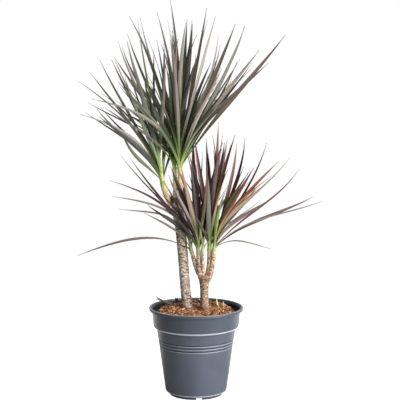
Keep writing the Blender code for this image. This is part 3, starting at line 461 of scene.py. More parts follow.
# Heads of leaves: the shoot each stands on, its stem, and how many leaves follow the spiral rule. Those
# have their lean in degrees, length and bow from the outermost (first figures) to the innermost (second
# figures), start at the heading "first" and take their tones from "often". The outermost keep "parting"
# degrees clear at the front. With "outward", none at the front leans to the other side, and "right_lean"
# is the most that those on the right lean.
# "reach" and "more" say where the longest leaves end, as (x, y, z, bow, face, tone) and, where a leaf has
# its own, its width and sway. Those under "more" fill in between the solids' own.
HEADS = {
    "lower_middle_leaves": dict(
        on="lower_middle_shoot", stem_length=0.012, leans=(0.05, 0), radii=(0.0029, 0.0022),
        leaves=4, lean=(45, 12), length=(0.045, 0.060), bow=(0.06, 0.01), first=330, seed=51,
        width=0.9, parting=0, often=("rose", "lime"), reach=(
            (0.017, -0.022, 0.314, 0.02, 0.7, "rose"),
            (0.006, -0.046, 0.306, 0.06, 0.5, "rose"),
            (0.014, 0.020, 0.322, 0.03, 0.6, "lime"),
        ),
        more=(),
    ),
    "upper_left_leaves": dict(
        on="upper_left_shoot", stem_length=0.062, leans=(-0.16, 0), radii=(0.0047, 0.0026),
        leaves=13, lean=(50, 6), length=(0.180, 0.225), bow=(0.08, 0.01), first=75, seed=11,
        width=0.80, parting=70, often=("slate", "moss", "olive", "mauve", "umber", "ink"), reach=(
            (-0.200, -0.060, 0.511, 0.12, 0.3, "ash", 0.62),
            (-0.130, -0.030, 0.479, -0.06, 0.9, "olive"),
            (-0.174, -0.030, 0.520, 0.04, 0.6, "moss", 0.95),
            (-0.212, 0.020, 0.567, 0.08, 0.1, "ash"),
            (-0.184, -0.040, 0.583, 0.03, 0.5, "olive"),
            (-0.169, -0.015, 0.604, 0.00, 0.5, "umber"),
            (-0.151, 0.030, 0.603, 0.03, 0.8, "olive"),
            (-0.120, -0.030, 0.637, 0.02, 0.9, "slate"),
            (-0.075, 0.030, 0.623, -0.04, 0.4, "umber"),
            (-0.055, -0.060, 0.633, 0.01, 0.8, "mauve"),
        ),
        more=(
            (-0.172, 0.040, 0.518, 0.05, 0.3, "slate"),
            (-0.146, 0.050, 0.599, 0.03, 0.3, "ash"),
            (-0.122, 0.060, 0.584, 0.02, 0.3, "mauve"),
            (-0.105, -0.055, 0.590, 0.03, 0.8, "slate", 0.90),
            (-0.088, -0.045, 0.562, 0.02, 0.7, "ink", 0.80),
            (-0.122, -0.070, 0.576, 0.04, 0.7, "moss", 0.85),
        ),
    ),
    "upper_middle_leaves": dict(
        on="upper_middle_shoot", stem_length=0.020, leans=(-0.10, 0.05), radii=(0.0038, 0.0026),
        leaves=15, lean=(48, 10), length=(0.160, 0.190), bow=(0.08, 0.02), first=150, seed=21,
        width=0.90, parting=60, often=("ink", "slate", "moss", "olive"), reach=(
            (-0.152, -0.060, 0.521, 0.06, 0.2, "mauve"),
            (-0.141, 0.060, 0.637, 0.00, 0.2, "ash"),
            (-0.070, 0.020, 0.639, -0.01, 0.5, "umber"),
        ),
        more=(),
    ),
    "upper_right_leaves": dict(
        on="upper_right_shoot", stem_length=0.044, leans=(-0.04, 0), radii=(0.0040, 0.0024),
        leaves=34, lean=(52, 5), length=(0.180, 0.225), bow=(0.08, 0.01), first=26, seed=31,
        right_lean=37, width=0.82, parting=60,
        often=("slate", "ink", "moss", "olive", "mauve", "moss", "umber"), reach=(
            (-0.175, -0.128, 0.541, 0.15, 0.7, "ash", 0.85),
            (0.126, -0.040, 0.599, 0.06, 0.5, "mauve", 1.0),
            (0.158, 0.010, 0.647, 0.00, 0.7, "umber", 0.95),
            (0.044, -0.105, 0.590, 0.04, 0.8, "ash", 0.9),
            (0.110, -0.030, 0.621, 0.03, 0.8, "umber", 1.05),
            (0.074, 0.050, 0.599, -0.03, 0.5, "olive"),
            (-0.124, 0.060, 0.649, 0.01, 0.5, "moss"),
            (0.085, -0.020, 0.661, -0.01, 0.8, "slate", 1.0),
            (-0.102, 0.080, 0.680, 0.02, 0.2, "mauve"),
            (0.070, 0.020, 0.667, 0.00, 0.8, "umber", 1.0),
            (-0.120, 0.040, 0.681, 0.00, 0.7, "olive"),
            (-0.043, -0.080, 0.639, 0.01, 0.9, "mauve"),
            (0.034, -0.035, 0.680, 0.01, 0.7, "ash"),
            (0.019, 0.015, 0.695, -0.01, 0.6, "umber"),
            (-0.069, 0.010, 0.688, 0.04, 0.5, "slate"),
            (-0.016, 0.030, 0.674, -0.03, 0.9, "ink"),
            (-0.045, -0.010, 0.708, 0.02, 0.5, "umber"),
        ),
        more=(
            (-0.051, 0.040, 0.674, 0.02, 0.2, "ash"),
            (-0.041, 0.020, 0.660, 0.01, 0.3, "moss"),
            (-0.007, 0.005, 0.674, 0.02, 0.4, "slate"),
            (-0.011, 0.050, 0.638, -0.01, 0.5, "ink"),
            (0.021, 0.030, 0.674, 0.00, 0.3, "ink"),
            (0.039, -0.015, 0.647, -0.01, 0.4, "slate"),
            (0.042, -0.050, 0.630, 0.02, 0.3, "ash"),
            (0.086, 0.015, 0.663, 0.02, 0.6, "umber"),
            (0.076, -0.055, 0.606, 0.03, 0.2, "ash"),
            (0.098, -0.010, 0.598, 0.02, 0.3, "ink"),
            (0.052, -0.126, 0.560, 0.06, 0.3, "olive", 0.75),
            (0.104, 0.030, 0.592, 0.03, 0.3, "umber"),
            (0.070, 0.060, 0.540, 0.05, 0.3, "slate"),
        ),
    ),
    "lower_far_left_leaves": dict(
        on="lower_far_left_shoot", stem_length=0.016, leans=(-0.20, 0), radii=(0.0033, 0.0024),
        leaves=5, lean=(46, 24), length=(0.120, 0.140), bow=(0.09, 0.04), first=100, seed=41,
        outward=-1, width=0.72, parting=80, often=("wine", "plum", "mauve", "plum"), reach=(
            (-0.211, -0.020, 0.257, 0.092, 0.5, "dusk", 0.64),
            (-0.146, -0.050, 0.367, 0.19, 0.3, "mauve", 0.6),
            (-0.149, -0.070, 0.397, 0.12, 0.4, "wine", 0.9),
        ),
        more=(
            (-0.147, 0.130, 0.321, 0.12, 0.2, "mauve", 0.72, -0.20),
        ),
    ),
    "lower_left_leaves": dict(
        on="lower_left_shoot", stem_length=0.030, leans=(-0.03, 0), radii=(0.0037, 0.0024),
        leaves=19, lean=(42, 6), length=(0.135, 0.175), bow=(0.08, 0.01), first=240, seed=42,
        outward=-1, width=0.75, parting=70, often=("wine", "plum", "wine", "ink", "dusk"), reach=(
            (-0.133, -0.025, 0.437, 0.02, 0.3, "plum", 0.75),
            (-0.115, -0.045, 0.434, 0.00, 0.5, "wine", 0.75),
            (-0.047, -0.075, 0.407, 0.05, 0.9, "lilac", 0.80),
            (-0.027, -0.070, 0.428, 0.02, 0.8, "rose", 0.76),
            (-0.035, -0.055, 0.421, 0.01, 0.9, "dusk", 0.85),
            (-0.005, 0.010, 0.472, 0.02, 0.9, "wine", 1.0),
        ),
        more=(
            (-0.054, -0.050, 0.353, 0.04, 0.5, "ink", 0.85),
            (0.020, -0.040, 0.430, -0.03, 0.5, "rose", 0.7),
        ),
    ),
    "lower_right_leaves": dict(
        on="lower_right_shoot", stem_length=0.026, leans=(0.02, 0), radii=(0.0037, 0.0024),
        leaves=20, lean=(48, 5), length=(0.135, 0.175), bow=(0.08, 0.01), first=60, seed=63,
        outward=1, width=0.75, parting=70, often=("wine", "ink", "wine", "plum", "rust", "olive"), reach=(
            (-0.003, -0.060, 0.337, 0.06, 0.4, "plum"),
            (0.021, -0.070, 0.405, -0.02, 0.8, "slate", 0.82),
            (0.056, 0.025, 0.460, 0.04, 0.8, "plum", 1.0),
            (0.069, -0.015, 0.472, 0.03, 0.8, "wine", 0.95),
            (0.018, 0.030, 0.463, -0.01, 0.7, "wine", 1.0),
            (0.040, 0.010, 0.493, -0.02, 0.6, "wine", 0.95),
        ),
        more=(
            (0.029, 0.045, 0.468, 0.00, 0.2, "mauve"),
            (0.047, -0.015, 0.475, 0.00, 0.4, "plum"),
            (0.061, -0.055, 0.457, 0.02, 0.4, "ochre", 0.5),
            (0.049, -0.065, 0.401, 0.03, 0.6, "rose", 0.65),
        ),
    ),
    "lower_far_right_leaves": dict(
        on="lower_far_right_shoot", stem_length=0.024, leans=(0.10, 0), radii=(0.0036, 0.0024),
        leaves=9, lean=(50, 10), length=(0.130, 0.155), bow=(0.09, 0.02), first=130, seed=62,
        outward=1, width=0.72, parting=70, often=("wine", "mauve", "plum", "wine", "dusk"), reach=(
            (0.131, -0.035, 0.272, 0.12, 0.2, "mauve", 0.6),
            (0.223, -0.040, 0.358, 0.06, 0.4, "dusk", 0.75),
            (0.208, -0.010, 0.361, 0.02, 0.4, "dusk", 0.75),
            (0.183, -0.015, 0.412, 0.00, 0.3, "wine", 0.75),
            (0.169, 0.015, 0.430, 0.05, 0.4, "mauve", 0.7),
            (0.126, -0.050, 0.394, 0.09, 0.7, "tan", 0.8),
            (0.145, -0.020, 0.425, 0.05, 0.7, "rust", 0.9),
            (0.091, -0.060, 0.409, 0.06, 0.5, "lime", 0.8),
            (0.126, 0.010, 0.456, -0.02, 0.2, "wine", 0.7),
            (0.086, -0.030, 0.468, -0.01, 0.5, "plum", 0.85),
            (0.072, -0.010, 0.456, -0.02, 0.6, "wine", 0.95),
        ),
        more=(
            (0.084, -0.040, 0.419, 0.03, 0.4, "wine"),
            (0.132, -0.046, 0.402, 0.08, 0.5, "ochre", 0.6),
            (0.070, -0.060, 0.360, 0.06, 0.5, "ochre", 0.5),
            (0.050, -0.128, 0.385, 0.07, 0.7, "lime", 0.75),
        ),
    ),
}


# Small tools


def between(ends, share):
    return ends[0] + share * (ends[1] - ends[0])


def turns(count):
    """Angles at equal steps round a circle."""
    return np.arange(count) * math.tau / count


def unit(vectors):
    vectors = np.asarray(vectors, float)
    return vectors / np.linalg.norm(vectors, axis=-1, keepdims=True)


def ease(share):
    """0 to 1 with a smooth start and end."""
    share = np.clip(share, 0.0, 1.0)
    return share * share * (3 - 2 * share)


def rising(value, span):
    """0 up to the span's start, and from there up to 1 over its width."""
    start, width = span
    return ease((value - start) / width)


def tint(colour):
    """A colour from 0 to 255, as a screen shows it, in Blender's own linear values."""
    def linear(part):
        share = part / 255
        return share / 12.92 if share <= 0.04045 else ((share + 0.055) / 1.055) ** 2.4
    return (*[linear(part) for part in colour], 1.0)


def dimmed(colour, share):
    return tuple(min(255, part * share) for part in colour)


def new_object(name, data):
    obj = bpy.data.objects.new(name, data)
    bpy.context.scene.collection.objects.link(obj)
    return obj


def dressed(name, mesh, materials):
    """A new object from a mesh and its materials."""
    for material in materials:
        mesh.materials.append(material)
    return new_object(name, mesh)


def mesh_of(name, points, faces, smooth_angle=None):
    """A mesh from arrays, shaded smooth up to an angle between its faces."""
    mesh = bpy.data.meshes.new(name)
    mesh.from_pydata(np.asarray(points).tolist(), [], [list(face) for face in faces])
    if smooth_angle:
        mesh.shade_smooth()
        mesh.set_sharp_from_angle(angle=math.radians(smooth_angle))
    return mesh


def lay_map(mesh, corners):
    layer = mesh.uv_layers.new(name=MAP_NAME)
    layer.data.foreach_set("uv", np.asarray(corners, float).ravel())


def along_map(share):
    """Height on the map of a share of the length, which leaves a margin at each end for the caps."""
    return share * (1 - 2 * MAP_MARGIN) + MAP_MARGIN


def cap_corners(across, along, rise):
    """Places on the map of the corners of a tube's two caps, the second one higher by the rise."""
    first = np.stack([across, along], axis=-1)
    return np.concatenate([first[::-1], first + (0, rise)])


def set_faces(mesh, slots):
    mesh.polygons.foreach_set("material_index", np.asarray(slots, np.int32))


def set_values(mesh, name, values):
    """One value for each point, which the material reads under this name."""
    mesh.attributes.new(name, "FLOAT", "POINT").data.foreach_set("value", values)


def piece_for(obj, slot, *nodes):
    """The object rides on the one body and replaces CAD nodes. The slot is not used."""
    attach(obj, "root")
    if nodes:
        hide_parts(*nodes)
    return obj


def tube_faces(rows, columns):
    """Quads between the rows of a closed tube, and the place of each corner from 0 to 1."""
    row, column = np.meshgrid(np.arange(rows - 1), np.arange(columns), indexing="ij")
    after = (column + 1) % columns
    quads = np.stack([
        row * columns + column,
        row * columns + after,
        (row + 1) * columns + after,
        (row + 1) * columns + column,
    ], axis=-1)
    across = np.stack([column, column + 1, column + 1, column], axis=-1) / columns
    along = np.stack([row, row, row + 1, row + 1], axis=-1) / (rows - 1)
    return quads.reshape(-1, 4), np.stack([across, along], axis=-1).reshape(-1, 2)


def tube_caps(rows, columns):
    """The two faces that close the first and the last row of a tube."""
    last = (rows - 1) * columns
    return [list(range(columns))[::-1], [last + side for side in range(columns)]]


def tube_fans(rows, columns):
    """Triangles that close a tube's first and last row, round two points that follow its own."""
    count = rows * columns
    last = count - columns
    side = np.arange(columns)
    after = (side + 1) % columns
    first_fan = [(count, a, b) for a, b in zip(side, after)]
    return first_fan + [(count + 1, last + b, last + a) for a, b in zip(side, after)]


def smooth_noise(draw, shape, cells, wrap=False):
    """Values from -1 to 1 on a grid, eased between random ones on a coarser grid of cells."""
    rows, columns = cells
    seeds = draw.uniform(-1, 1, (rows + 1, columns + 1))
    if wrap:
        seeds[:, -1] = seeds[:, 0]
    row = np.linspace(0, rows, shape[0], endpoint=True) * JUST_UNDER_ONE
    column = np.linspace(0, columns, shape[1], endpoint=not wrap) * JUST_UNDER_ONE
    i, j = row.astype(int), column.astype(int)
    down, over = ease(row - i)[:, None], ease(column - j)[None, :]
    first = seeds[np.ix_(i, j)] * (1 - over) + seeds[np.ix_(i, j + 1)] * over
    second = seeds[np.ix_(i + 1, j)] * (1 - over) + seeds[np.ix_(i + 1, j + 1)] * over
    return first * (1 - down) + second * down


# Materials


class Graph:
    """A node tree, to which nodes are added one by one."""

    def __init__(self, tree):
        self.nodes = tree.nodes
        self.links = tree.links

    def feed(self, socket, value):
        if isinstance(value, bpy.types.NodeSocket):
            self.links.new(value, socket)
        else:
            socket.default_value = value

    def add(self, kind, inputs=(), output=0, **settings):
        node = self.nodes.new(kind)
        for key, value in settings.items():
            setattr(node, key, value)
        for key, value in dict(inputs).items():
            self.feed(node.inputs[key], value)
        return node.outputs[output]

    def math(self, operation, *values):
        return self.add("ShaderNodeMath", enumerate(values), operation=operation)

    def times(self, first, second):
        return self.math("MULTIPLY", first, second)

    def off(self, value, middle):
        """How far a value is from a middle one."""
        return self.math("ABSOLUTE", self.math("SUBTRACT", value, middle))

    def rise(self, value, start, end, low=0.0, high=1.0):
        """From low up to start to high from end on, with a smooth rise between."""
        inputs = {"Value": value, "From Min": start, "From Max": end, "To Min": low, "To Max": high}
        return self.add("ShaderNodeMapRange", inputs, interpolation_type="SMOOTHSTEP")

    def parts(self, vector):
        """The three parts of a vector."""
        return list(self.add("ShaderNodeSeparateXYZ", {0: vector}).node.outputs)


class Finish(Graph):
    """A material, whose colour is laid on tone by tone."""

    def __init__(self, name, roughness):
        self.material = bpy.data.materials.new(name)
        self.material.use_nodes = True
        super().__init__(self.material.node_tree)
        self.shader = self.nodes["Principled BSDF"]
        self.set("Roughness", roughness)
        self.place = self.add("ShaderNodeTexCoord", output=3)

    def set(self, name, value):
        self.feed(self.shader.inputs[name], value)

    def mix(self, share, first, second):
        inputs = {0: share, 6: first, 7: second}
        return self.add("ShaderNodeMix", inputs, output=2, data_type="RGBA")

    def ground(self, value, start, end, first, second):
        """Begin the colour: the first tone up to start, the second from end on."""
        self.colour = self.mix(self.rise(value, start, end), tint(first), tint(second))

    def cover(self, share, tone):
        """Lay a share of a tone over the colour so far."""
        self.colour = self.mix(share, self.colour, tint(tone))

    def lay(self, tone, value, start, end, low=0.0, high=1.0, within=None):
        """Lay a tone over the colour so far, its share rising with a value, and only within another."""
        share = self.rise(value, start, end, low, high)
        if within is not None:
            share = self.times(share, within)
        self.cover(share, tone)

    def noise(self, scale, detail=2.0, roughness=0.5, place=None):
        place = self.place if place is None else place
        inputs = {"Vector": place, "Scale": scale, "Detail": detail, "Roughness": roughness}
        return self.add("ShaderNodeTexNoise", inputs)

    def stretched(self, scale, place=None):
        place = self.place if place is None else place
        return self.add("ShaderNodeMapping", {"Vector": place, "Scale": scale})

    def net(self, scale):
        """How far each point is from the lines of a rough net, drawn round cells of about 1 / scale."""
        inputs = {"Vector": self.place, "Scale": NET_ROUGH_SCALE, "Detail": 2.0}
        shift = self.add("ShaderNodeTexNoise", inputs, output=1)
        rough = self.add("ShaderNodeVectorMath", {0: self.stretched(scale), 1: shift}, operation="ADD")
        return self.add("ShaderNodeTexVoronoi", {"Vector": rough, "Scale": 1.0}, feature="DISTANCE_TO_EDGE")

    def values(self, name):
        """The values that the mesh's points hold under this name."""
        return self.add("ShaderNodeAttribute", output=2, attribute_name=name)

    def done(self, relief, strength, distance):
        """The finished material, with its colour and a bumpy surface."""
        self.set("Base Color", self.colour)
        inputs = {"Height": relief, "Strength": strength, "Distance": distance}
        self.set("Normal", self.add("ShaderNodeBump", inputs))
        return self.material


def pot_inside(finish, radius, height):
    """1 on the inside of the pot's collar, over the coir, and 0 elsewhere."""
    slope = (COLLAR_TOP_RADIUS - COLLAR_FOOT_RADIUS) / (RIM_Z - RIM_BEAD - COLLAR_FOOT_Z)
    wall = finish.math("SUBTRACT", radius, finish.times(height, slope))
    middle = COLLAR_FOOT_RADIUS - WALL / 2 - COLLAR_FOOT_Z * slope
    inside = finish.rise(wall, middle - 0.0002, middle + 0.0002, 1, 0)
    return finish.times(inside, finish.rise(height, COLLAR_FOOT_Z, COLLAR_FOOT_Z + 0.001))


def pot_plastic():
    """Slate plastic with a satin skin: cloudy tone and fine grain, with painted highlights on its edges and
    painted shade on the collar, inside it and in the grooves.
    """
    finish = Finish("pot_plastic", 0.36)
    finish.set("Specular IOR Level", 0.40)
    x, y, height = finish.parts(finish.place)
    radius = finish.math("SQRT", finish.math("ADD", finish.times(x, x), finish.times(y, y)))
    inside = pot_inside(finish, radius, height)
    cloud = finish.noise(22, 3)
    flow = finish.noise(1.0, 4, place=finish.stretched((60, 60, 9)))
    grain = finish.noise(2600, 2)
    finish.ground(cloud, 0.35, 0.65, *SLATE)
    finish.lay(SLATE_GRAIN, grain, 0.66, 0.74, 0, 0.25)
    # Painted shade: the collar above the ledge is darkened.
    finish.lay(SLATE_COLLAR_SHADE, height, LEDGE_Z, LEDGE_Z + 0.006, 0, 0.60)
    # Painted shade: the inside of the collar is darkened.
    finish.cover(inside, SLATE_INSIDE_SHADE)
    # Painted highlights: pale bands on the rim, the ledge, under each groove and on the foot's chamfer.
    for z, half_band, share in POT_PAINTED_HIGHLIGHTS:
        finish.lay(PAINTED_HIGHLIGHT, finish.off(height, z), half_band * 0.5, half_band, share, 0)
    # Painted shade: a dark line down in each groove.
    half_band, share = GROOVE_PAINTED_SHADE
    for z in GROOVES_Z:
        finish.lay(GROOVE_SHADE_TONE, finish.off(height, z + 0.0003), half_band * 0.3, half_band, share, 0)
    dusty = finish.times(inside, 0.45)
    finish.set("Roughness", finish.math("ADD", finish.rise(flow, 0.3, 0.7, 0.32, 0.42), dusty))
    return finish.done(grain, 0.06, 0.0002)


def coir_bed():
    """Moist coconut fibre, rust and orange on its crumbs, with painted shade that darkens its hollows and low
    places.
    """
    finish = Finish("coir_bed", 0.92)
    crumbs = finish.noise(420, 4, 0.7)
    clods = finish.noise(90, 2)
    # Partly the coir's own mottle, partly painted shade in the gaps between crumbs.
    finish.ground(crumbs, 0.35, 0.62, *COIR)
    finish.lay(COIR_CLODS, clods, 0.50, 0.68, 0, 0.7)
    # Painted shade: the low relief and the hollows darkened, by the shade values that the mesh holds.
    finish.lay(COIR_HOLLOW_SHADE, finish.values("height"), 0.20, 0.62, 0.85, 0)
    return finish.done(crumbs, 0.8, 0.0008)


def crumb(name, colour):
    """One tone of the loose chips and fibres, a little mottled."""
    finish = Finish(name, 0.88)
    grain = finish.noise(700, 3)
    finish.ground(grain, 0.38, 0.62, dimmed(colour, 0.80), dimmed(colour, 1.15))
    return finish.done(grain, 0.4, 0.0004)


def crumbs_of(tones):
    return [crumb(name, colour) for name, colour in tones.items()]


def cane_bark(name, pale, tan, brown):
    """Corky bark: pale ridges, tan flecks, and brown scars where leaves have dropped; the same scar values
    darken its top, partly a browner bark and partly painted shade under the crown.
    """
    finish = Finish(name, 0.80)
    cloud = finish.noise(75, 3)
    flecks = finish.noise(1.0, 4, 0.6, finish.stretched((280, 280, 460)))
    fine = finish.noise(1500, 3)
    net = finish.net((165, 165, 240))
    finish.ground(cloud, 0.36, 0.66, pale, tan)
    finish.lay(dimmed(tan, 0.72), flecks, 0.50, 0.60, 0, 0.70)
    finish.lay(dimmed(tan, 0.64), net, 0.05, 0.24, 0.72, 0)
    ragged = finish.math("ADD", finish.values("scar"), finish.rise(flecks, 0.3, 0.7, -0.22, 0.22))
    finish.lay(brown, ragged, 0.30, 0.75)
    finish.lay(dimmed(brown, 0.5), ragged, 0.95, 1.3)
    finish.set("Roughness", finish.rise(flecks, 0.3, 0.7, 0.70, 0.92))
    relief = finish.math("ADD", finish.rise(net, 0.0, 0.3, 0, 1.2), finish.math("ADD", flecks, fine))
    return finish.done(relief, 0.55, 0.0005)


def shoot_bark(name, foot, head, spots):
    """Young bark: tan at its foot, fresh green under the leaves, with brown flecks and scars."""
    finish = Finish(name, 0.58)
    along = finish.parts(finish.add("ShaderNodeUVMap", uv_map=MAP_NAME))[1]
    cloud = finish.noise(160, 2)
    flecks = finish.noise(1.0, 3, 0.6, finish.stretched((300, 300, 360)))
    share = finish.math("ADD", along, finish.rise(cloud, 0.3, 0.7, -0.12, 0.12))
    aged = finish.rise(share, 0.40, 0.85, 1, 0.15)
    ragged = finish.math("ADD", finish.values("scar"), finish.rise(flecks, 0.3, 0.7, -0.25, 0.25))
    finish.ground(share, 0.45, 0.80, foot, head)
    finish.lay(dimmed(spots, 1.4), finish.net((300, 300, 330)), 0.06, 0.26, 0.75, 0, within=aged)
    finish.lay(dimmed(spots, 1.25), flecks, 0.48, 0.57, 0, 0.90, within=aged)
    finish.lay(spots, ragged, 0.30, 0.75, within=aged)
    finish.set("Roughness", finish.rise(flecks, 0.3, 0.7, 0.48, 0.68))
    return finish.done(flecks, 0.4, 0.0003)


def leaf_skin(crown, tone):
    """Skin of a crown's leaves of one tone, laid along each leaf: fresh foot, band along the midrib,
    thin coloured edges, fine veins, and a paler underside."""
    blade, midrib, edge, under = TONES[tone]
    spec = CROWNS[crown]
    foot = tuple(between(pair, FOOT_RIB_SHARE) for pair in zip(spec["foot"], midrib))
    reach = spec["foot_reach"] * FRESH_SHARE.get(tone, 1)
    finish = Finish(f"{crown}_{tone}", 0.42)
    spot, along, _ = finish.parts(finish.add("ShaderNodeUVMap", uv_map=MAP_NAME))
    spot = finish.times(spot, 2 * len(spec["tones"]))
    below = finish.math("MODULO", finish.math("FLOOR", spot), 2.0)
    aside = finish.math("SUBTRACT", finish.times(finish.math("FRACT", spot), 2.0), 1.0)
    off = finish.math("ABSOLUTE", aside)
    lines = finish.add("ShaderNodeCombineXYZ", {0: finish.times(aside, 7.0), 1: along, 2: below})
    veins = finish.noise(1.6, 3, 0.6, finish.stretched((1, 2.2, 5), lines))
    streaks = finish.noise(1.0, 1, place=finish.stretched((0.42, 1.1, 7), lines))
    patches = finish.noise(1.0, 2, place=finish.stretched((0.16, 7, 9), lines))
    finish.ground(veins, 0.34, 0.66, dimmed(blade, 0.76), dimmed(blade, 1.18))
    finish.lay(under, streaks, 0.50, 0.62, 0, 0.55)
    finish.lay(dimmed(blade, 0.60), streaks, 0.46, 0.34, 0, 0.45)
    finish.lay(midrib, patches, 0.50, 0.72, 0, 0.45)
    finish.lay(midrib, off, 0.08, 0.36, 0.9, 0, within=finish.rise(along, 0.40, 0.95, 1, 0))
    finish.cover(finish.times(below, 0.72), under)
    finish.lay(edge, off, 0.78, 0.94, 0, 0.85)
    finish.lay(edge, along, 0.45, 0.92, 0, 0.35)
    finish.lay(LEAF_TIP, along, 0.90, 0.99, 0, 0.8)
    wavering = finish.math("ADD", along, finish.rise(patches, 0.3, 0.7, -0.03, 0.03))
    inward = finish.rise(off, 0.45, 0.95, 1, 0.45)
    finish.lay(FRESH_GREEN, wavering, reach * 0.6, reach * 1.9, 0.8, 0, within=inward)
    finish.lay(foot, wavering, reach * 0.15, reach * 0.9, 1, 0, within=inward)
    finish.set("Roughness", finish.rise(veins, 0.3, 0.7, 0.36, 0.52))
    return finish.done(veins, 0.25, 0.0003)


def leaf_skins(crown):
    return {tone: leaf_skin(crown, tone) for tone in CROWNS[crown]["tones"]}


# Pot


def body_radius(z):
    """Outer radius of the tapering wall under the collar."""
    return between((BODY_FOOT_RADIUS, BODY_TOP_RADIUS), (z - BODY_FOOT_Z) / (LEDGE_Z - BODY_FOOT_Z))


def collar_radius(z):
    """Outer radius of the collar between the rim and the ledge."""
    share = (z - COLLAR_FOOT_Z) / (RIM_Z - RIM_BEAD - COLLAR_FOOT_Z)
    return between((COLLAR_FOOT_RADIUS, COLLAR_TOP_RADIUS), share)


def outer_profile():
    """(radius, height) down the outside of the pot, from its mouth to the middle of its underside."""
    bead_foot = RIM_Z - RIM_BEAD
    points = [
        (MOUTH_RADIUS, RIM_Z),
        (RIM_RADIUS, RIM_Z),
        (RIM_RADIUS, bead_foot),
        (collar_radius(bead_foot), bead_foot),
        (COLLAR_FOOT_RADIUS, COLLAR_FOOT_Z),
        (COLLAR_FOOT_RADIUS - 0.0010, COLLAR_FOOT_Z - 0.0024),
        (COLLAR_FOOT_RADIUS - 0.0030, LEDGE_Z),
        (BODY_TOP_RADIUS, LEDGE_Z - 0.0006),
    ]
    for z in GROOVES_Z:
        points.append((body_radius(z + GROOVE_WIDTH / 2), z + GROOVE_WIDTH / 2))
        points.append((body_radius(z) - GROOVE_DEPTH, z))
        points.append((body_radius(z - GROOVE_WIDTH / 2), z - GROOVE_WIDTH / 2))
    points += [
        (BODY_FOOT_RADIUS, BODY_FOOT_Z),
        (BODY_FOOT_RADIUS - 0.0014, BODY_FOOT_Z - 0.0024),
        (FOOT_OUTER_RADIUS + 0.0012, FLOOR_Z),
        (FOOT_OUTER_RADIUS - 0.0005, 0),
        (FOOT_INNER_RADIUS + 0.0005, 0),
        (FOOT_INNER_RADIUS, FLOOR_Z),
        (DISC_RADIUS + 0.0008, FLOOR_Z),
        (DISC_RADIUS, 0),
        (0, 0),
    ]
    return points


def inner_profile(inset):
    """(radius, height) up the inside of the pot from its middle, drawn in by an inset."""
    return [
        (0, WALL + inset),
        (DISC_RADIUS - WALL - inset, WALL + inset),
        (DISC_RADIUS + 0.0008 - WALL - inset, FLOOR_Z + WALL + inset),
        (BODY_FOOT_RADIUS - 0.0014 - WALL - inset, FLOOR_Z + WALL + inset),
        (BODY_FOOT_RADIUS - WALL - inset, BODY_FOOT_Z + WALL + inset),
        (BODY_TOP_RADIUS - WALL - inset, LEDGE_Z - WALL + inset),
        (COLLAR_FOOT_RADIUS - 0.0030 - WALL - inset, LEDGE_Z + WALL / 2 + inset),
        (COLLAR_FOOT_RADIUS - WALL - inset, COLLAR_FOOT_Z + inset),
    ]


def rounded(points, size):
    """The open line with each inner corner replaced by a short curve."""
    points = [np.array(point, float) for point in points]
    made = [points[0]]
    for before, corner, after in zip(points, points[1:], points[2:]):
        back = min(size, CORNER_SHARE * np.linalg.norm(before - corner))
        forth = min(size, CORNER_SHARE * np.linalg.norm(after - corner))
        start = corner + unit(before - corner) * back
        end = corner + unit(after - corner) * forth
        made += list(curved(start, corner, end, CORNER_STEPS + 1))
    made.append(points[-1])
    return made


def turned(name, profile, steps):
    """A closed (radius, height) profile turned about the Z axis."""
    mesh = bpy.data.meshes.new(name)
    points = [(radius, 0, height) for radius, height in profile]
    mesh.from_pydata(points, [(i, i + 1) for i in range(len(points) - 1)], [])
    obj = new_object(name, mesh)
    screw = obj.modifiers.new("Turn", "SCREW")
    screw.axis = "Z"
    screw.steps = steps
    screw.render_steps = steps
    screw.use_merge_vertices = True
    screw.merge_threshold = MERGE_DISTANCE
    return obj


def slot_cutter(angle):
    """A box through the foot ring."""
    middle = (FOOT_OUTER_RADIUS + FOOT_INNER_RADIUS) / 2
    depth = FOOT_OUTER_RADIUS - FOOT_INNER_RADIUS + 2 * CUTTER_OVERRUN
    shape = bmesh.new()
    bmesh.ops.create_cube(shape, size=1)
    size = Matrix.Diagonal((depth, FOOT_SLOT_WIDTH, 2 * FOOT_SLOT_HEIGHT, 1))
    place = Matrix.Rotation(angle, 4, "Z") @ Matrix.Translation((middle, 0, 0))
    shape.transform(place @ size)
    return shape


def hole_cutter(angle):
    """A rod through the pot's floor."""
    shape = bmesh.new()
    radius = DRAIN_HOLE_RADIUS
    bmesh.ops.create_cone(
        shape, cap_ends=True, segments=HOLE_SIDES, radius1=radius, radius2=radius, depth=HOLE_CUTTER_LENGTH,
    )
    x = DRAIN_CIRCLE_RADIUS * math.cos(angle)
    y = DRAIN_CIRCLE_RADIUS * math.sin(angle)
    shape.transform(Matrix.Translation((x, y, FLOOR_Z)))
    return shape


def cut_away(obj, shapes):
    """The object's mesh without the shapes."""
    cutters = bpy.data.collections.new("pot_cutters")
    bpy.context.scene.collection.children.link(cutters)
    for shape in shapes:
        mesh = bpy.data.meshes.new("pot_cutter")
        shape.to_mesh(mesh)
        shape.free()
        cutters.objects.link(bpy.data.objects.new("pot_cutter", mesh))
    cut = obj.modifiers.new("Cut", "BOOLEAN")
    cut.operation = "DIFFERENCE"
    cut.solver = "EXACT"
    cut.operand_type = "COLLECTION"
    cut.collection = cutters
    graph = bpy.context.evaluated_depsgraph_get()
    mesh = bpy.data.meshes.new_from_object(obj.evaluated_get(graph))
    for cutter in list(cutters.objects):
        bpy.data.objects.remove(cutter)
    bpy.data.collections.remove(cutters)
    return mesh


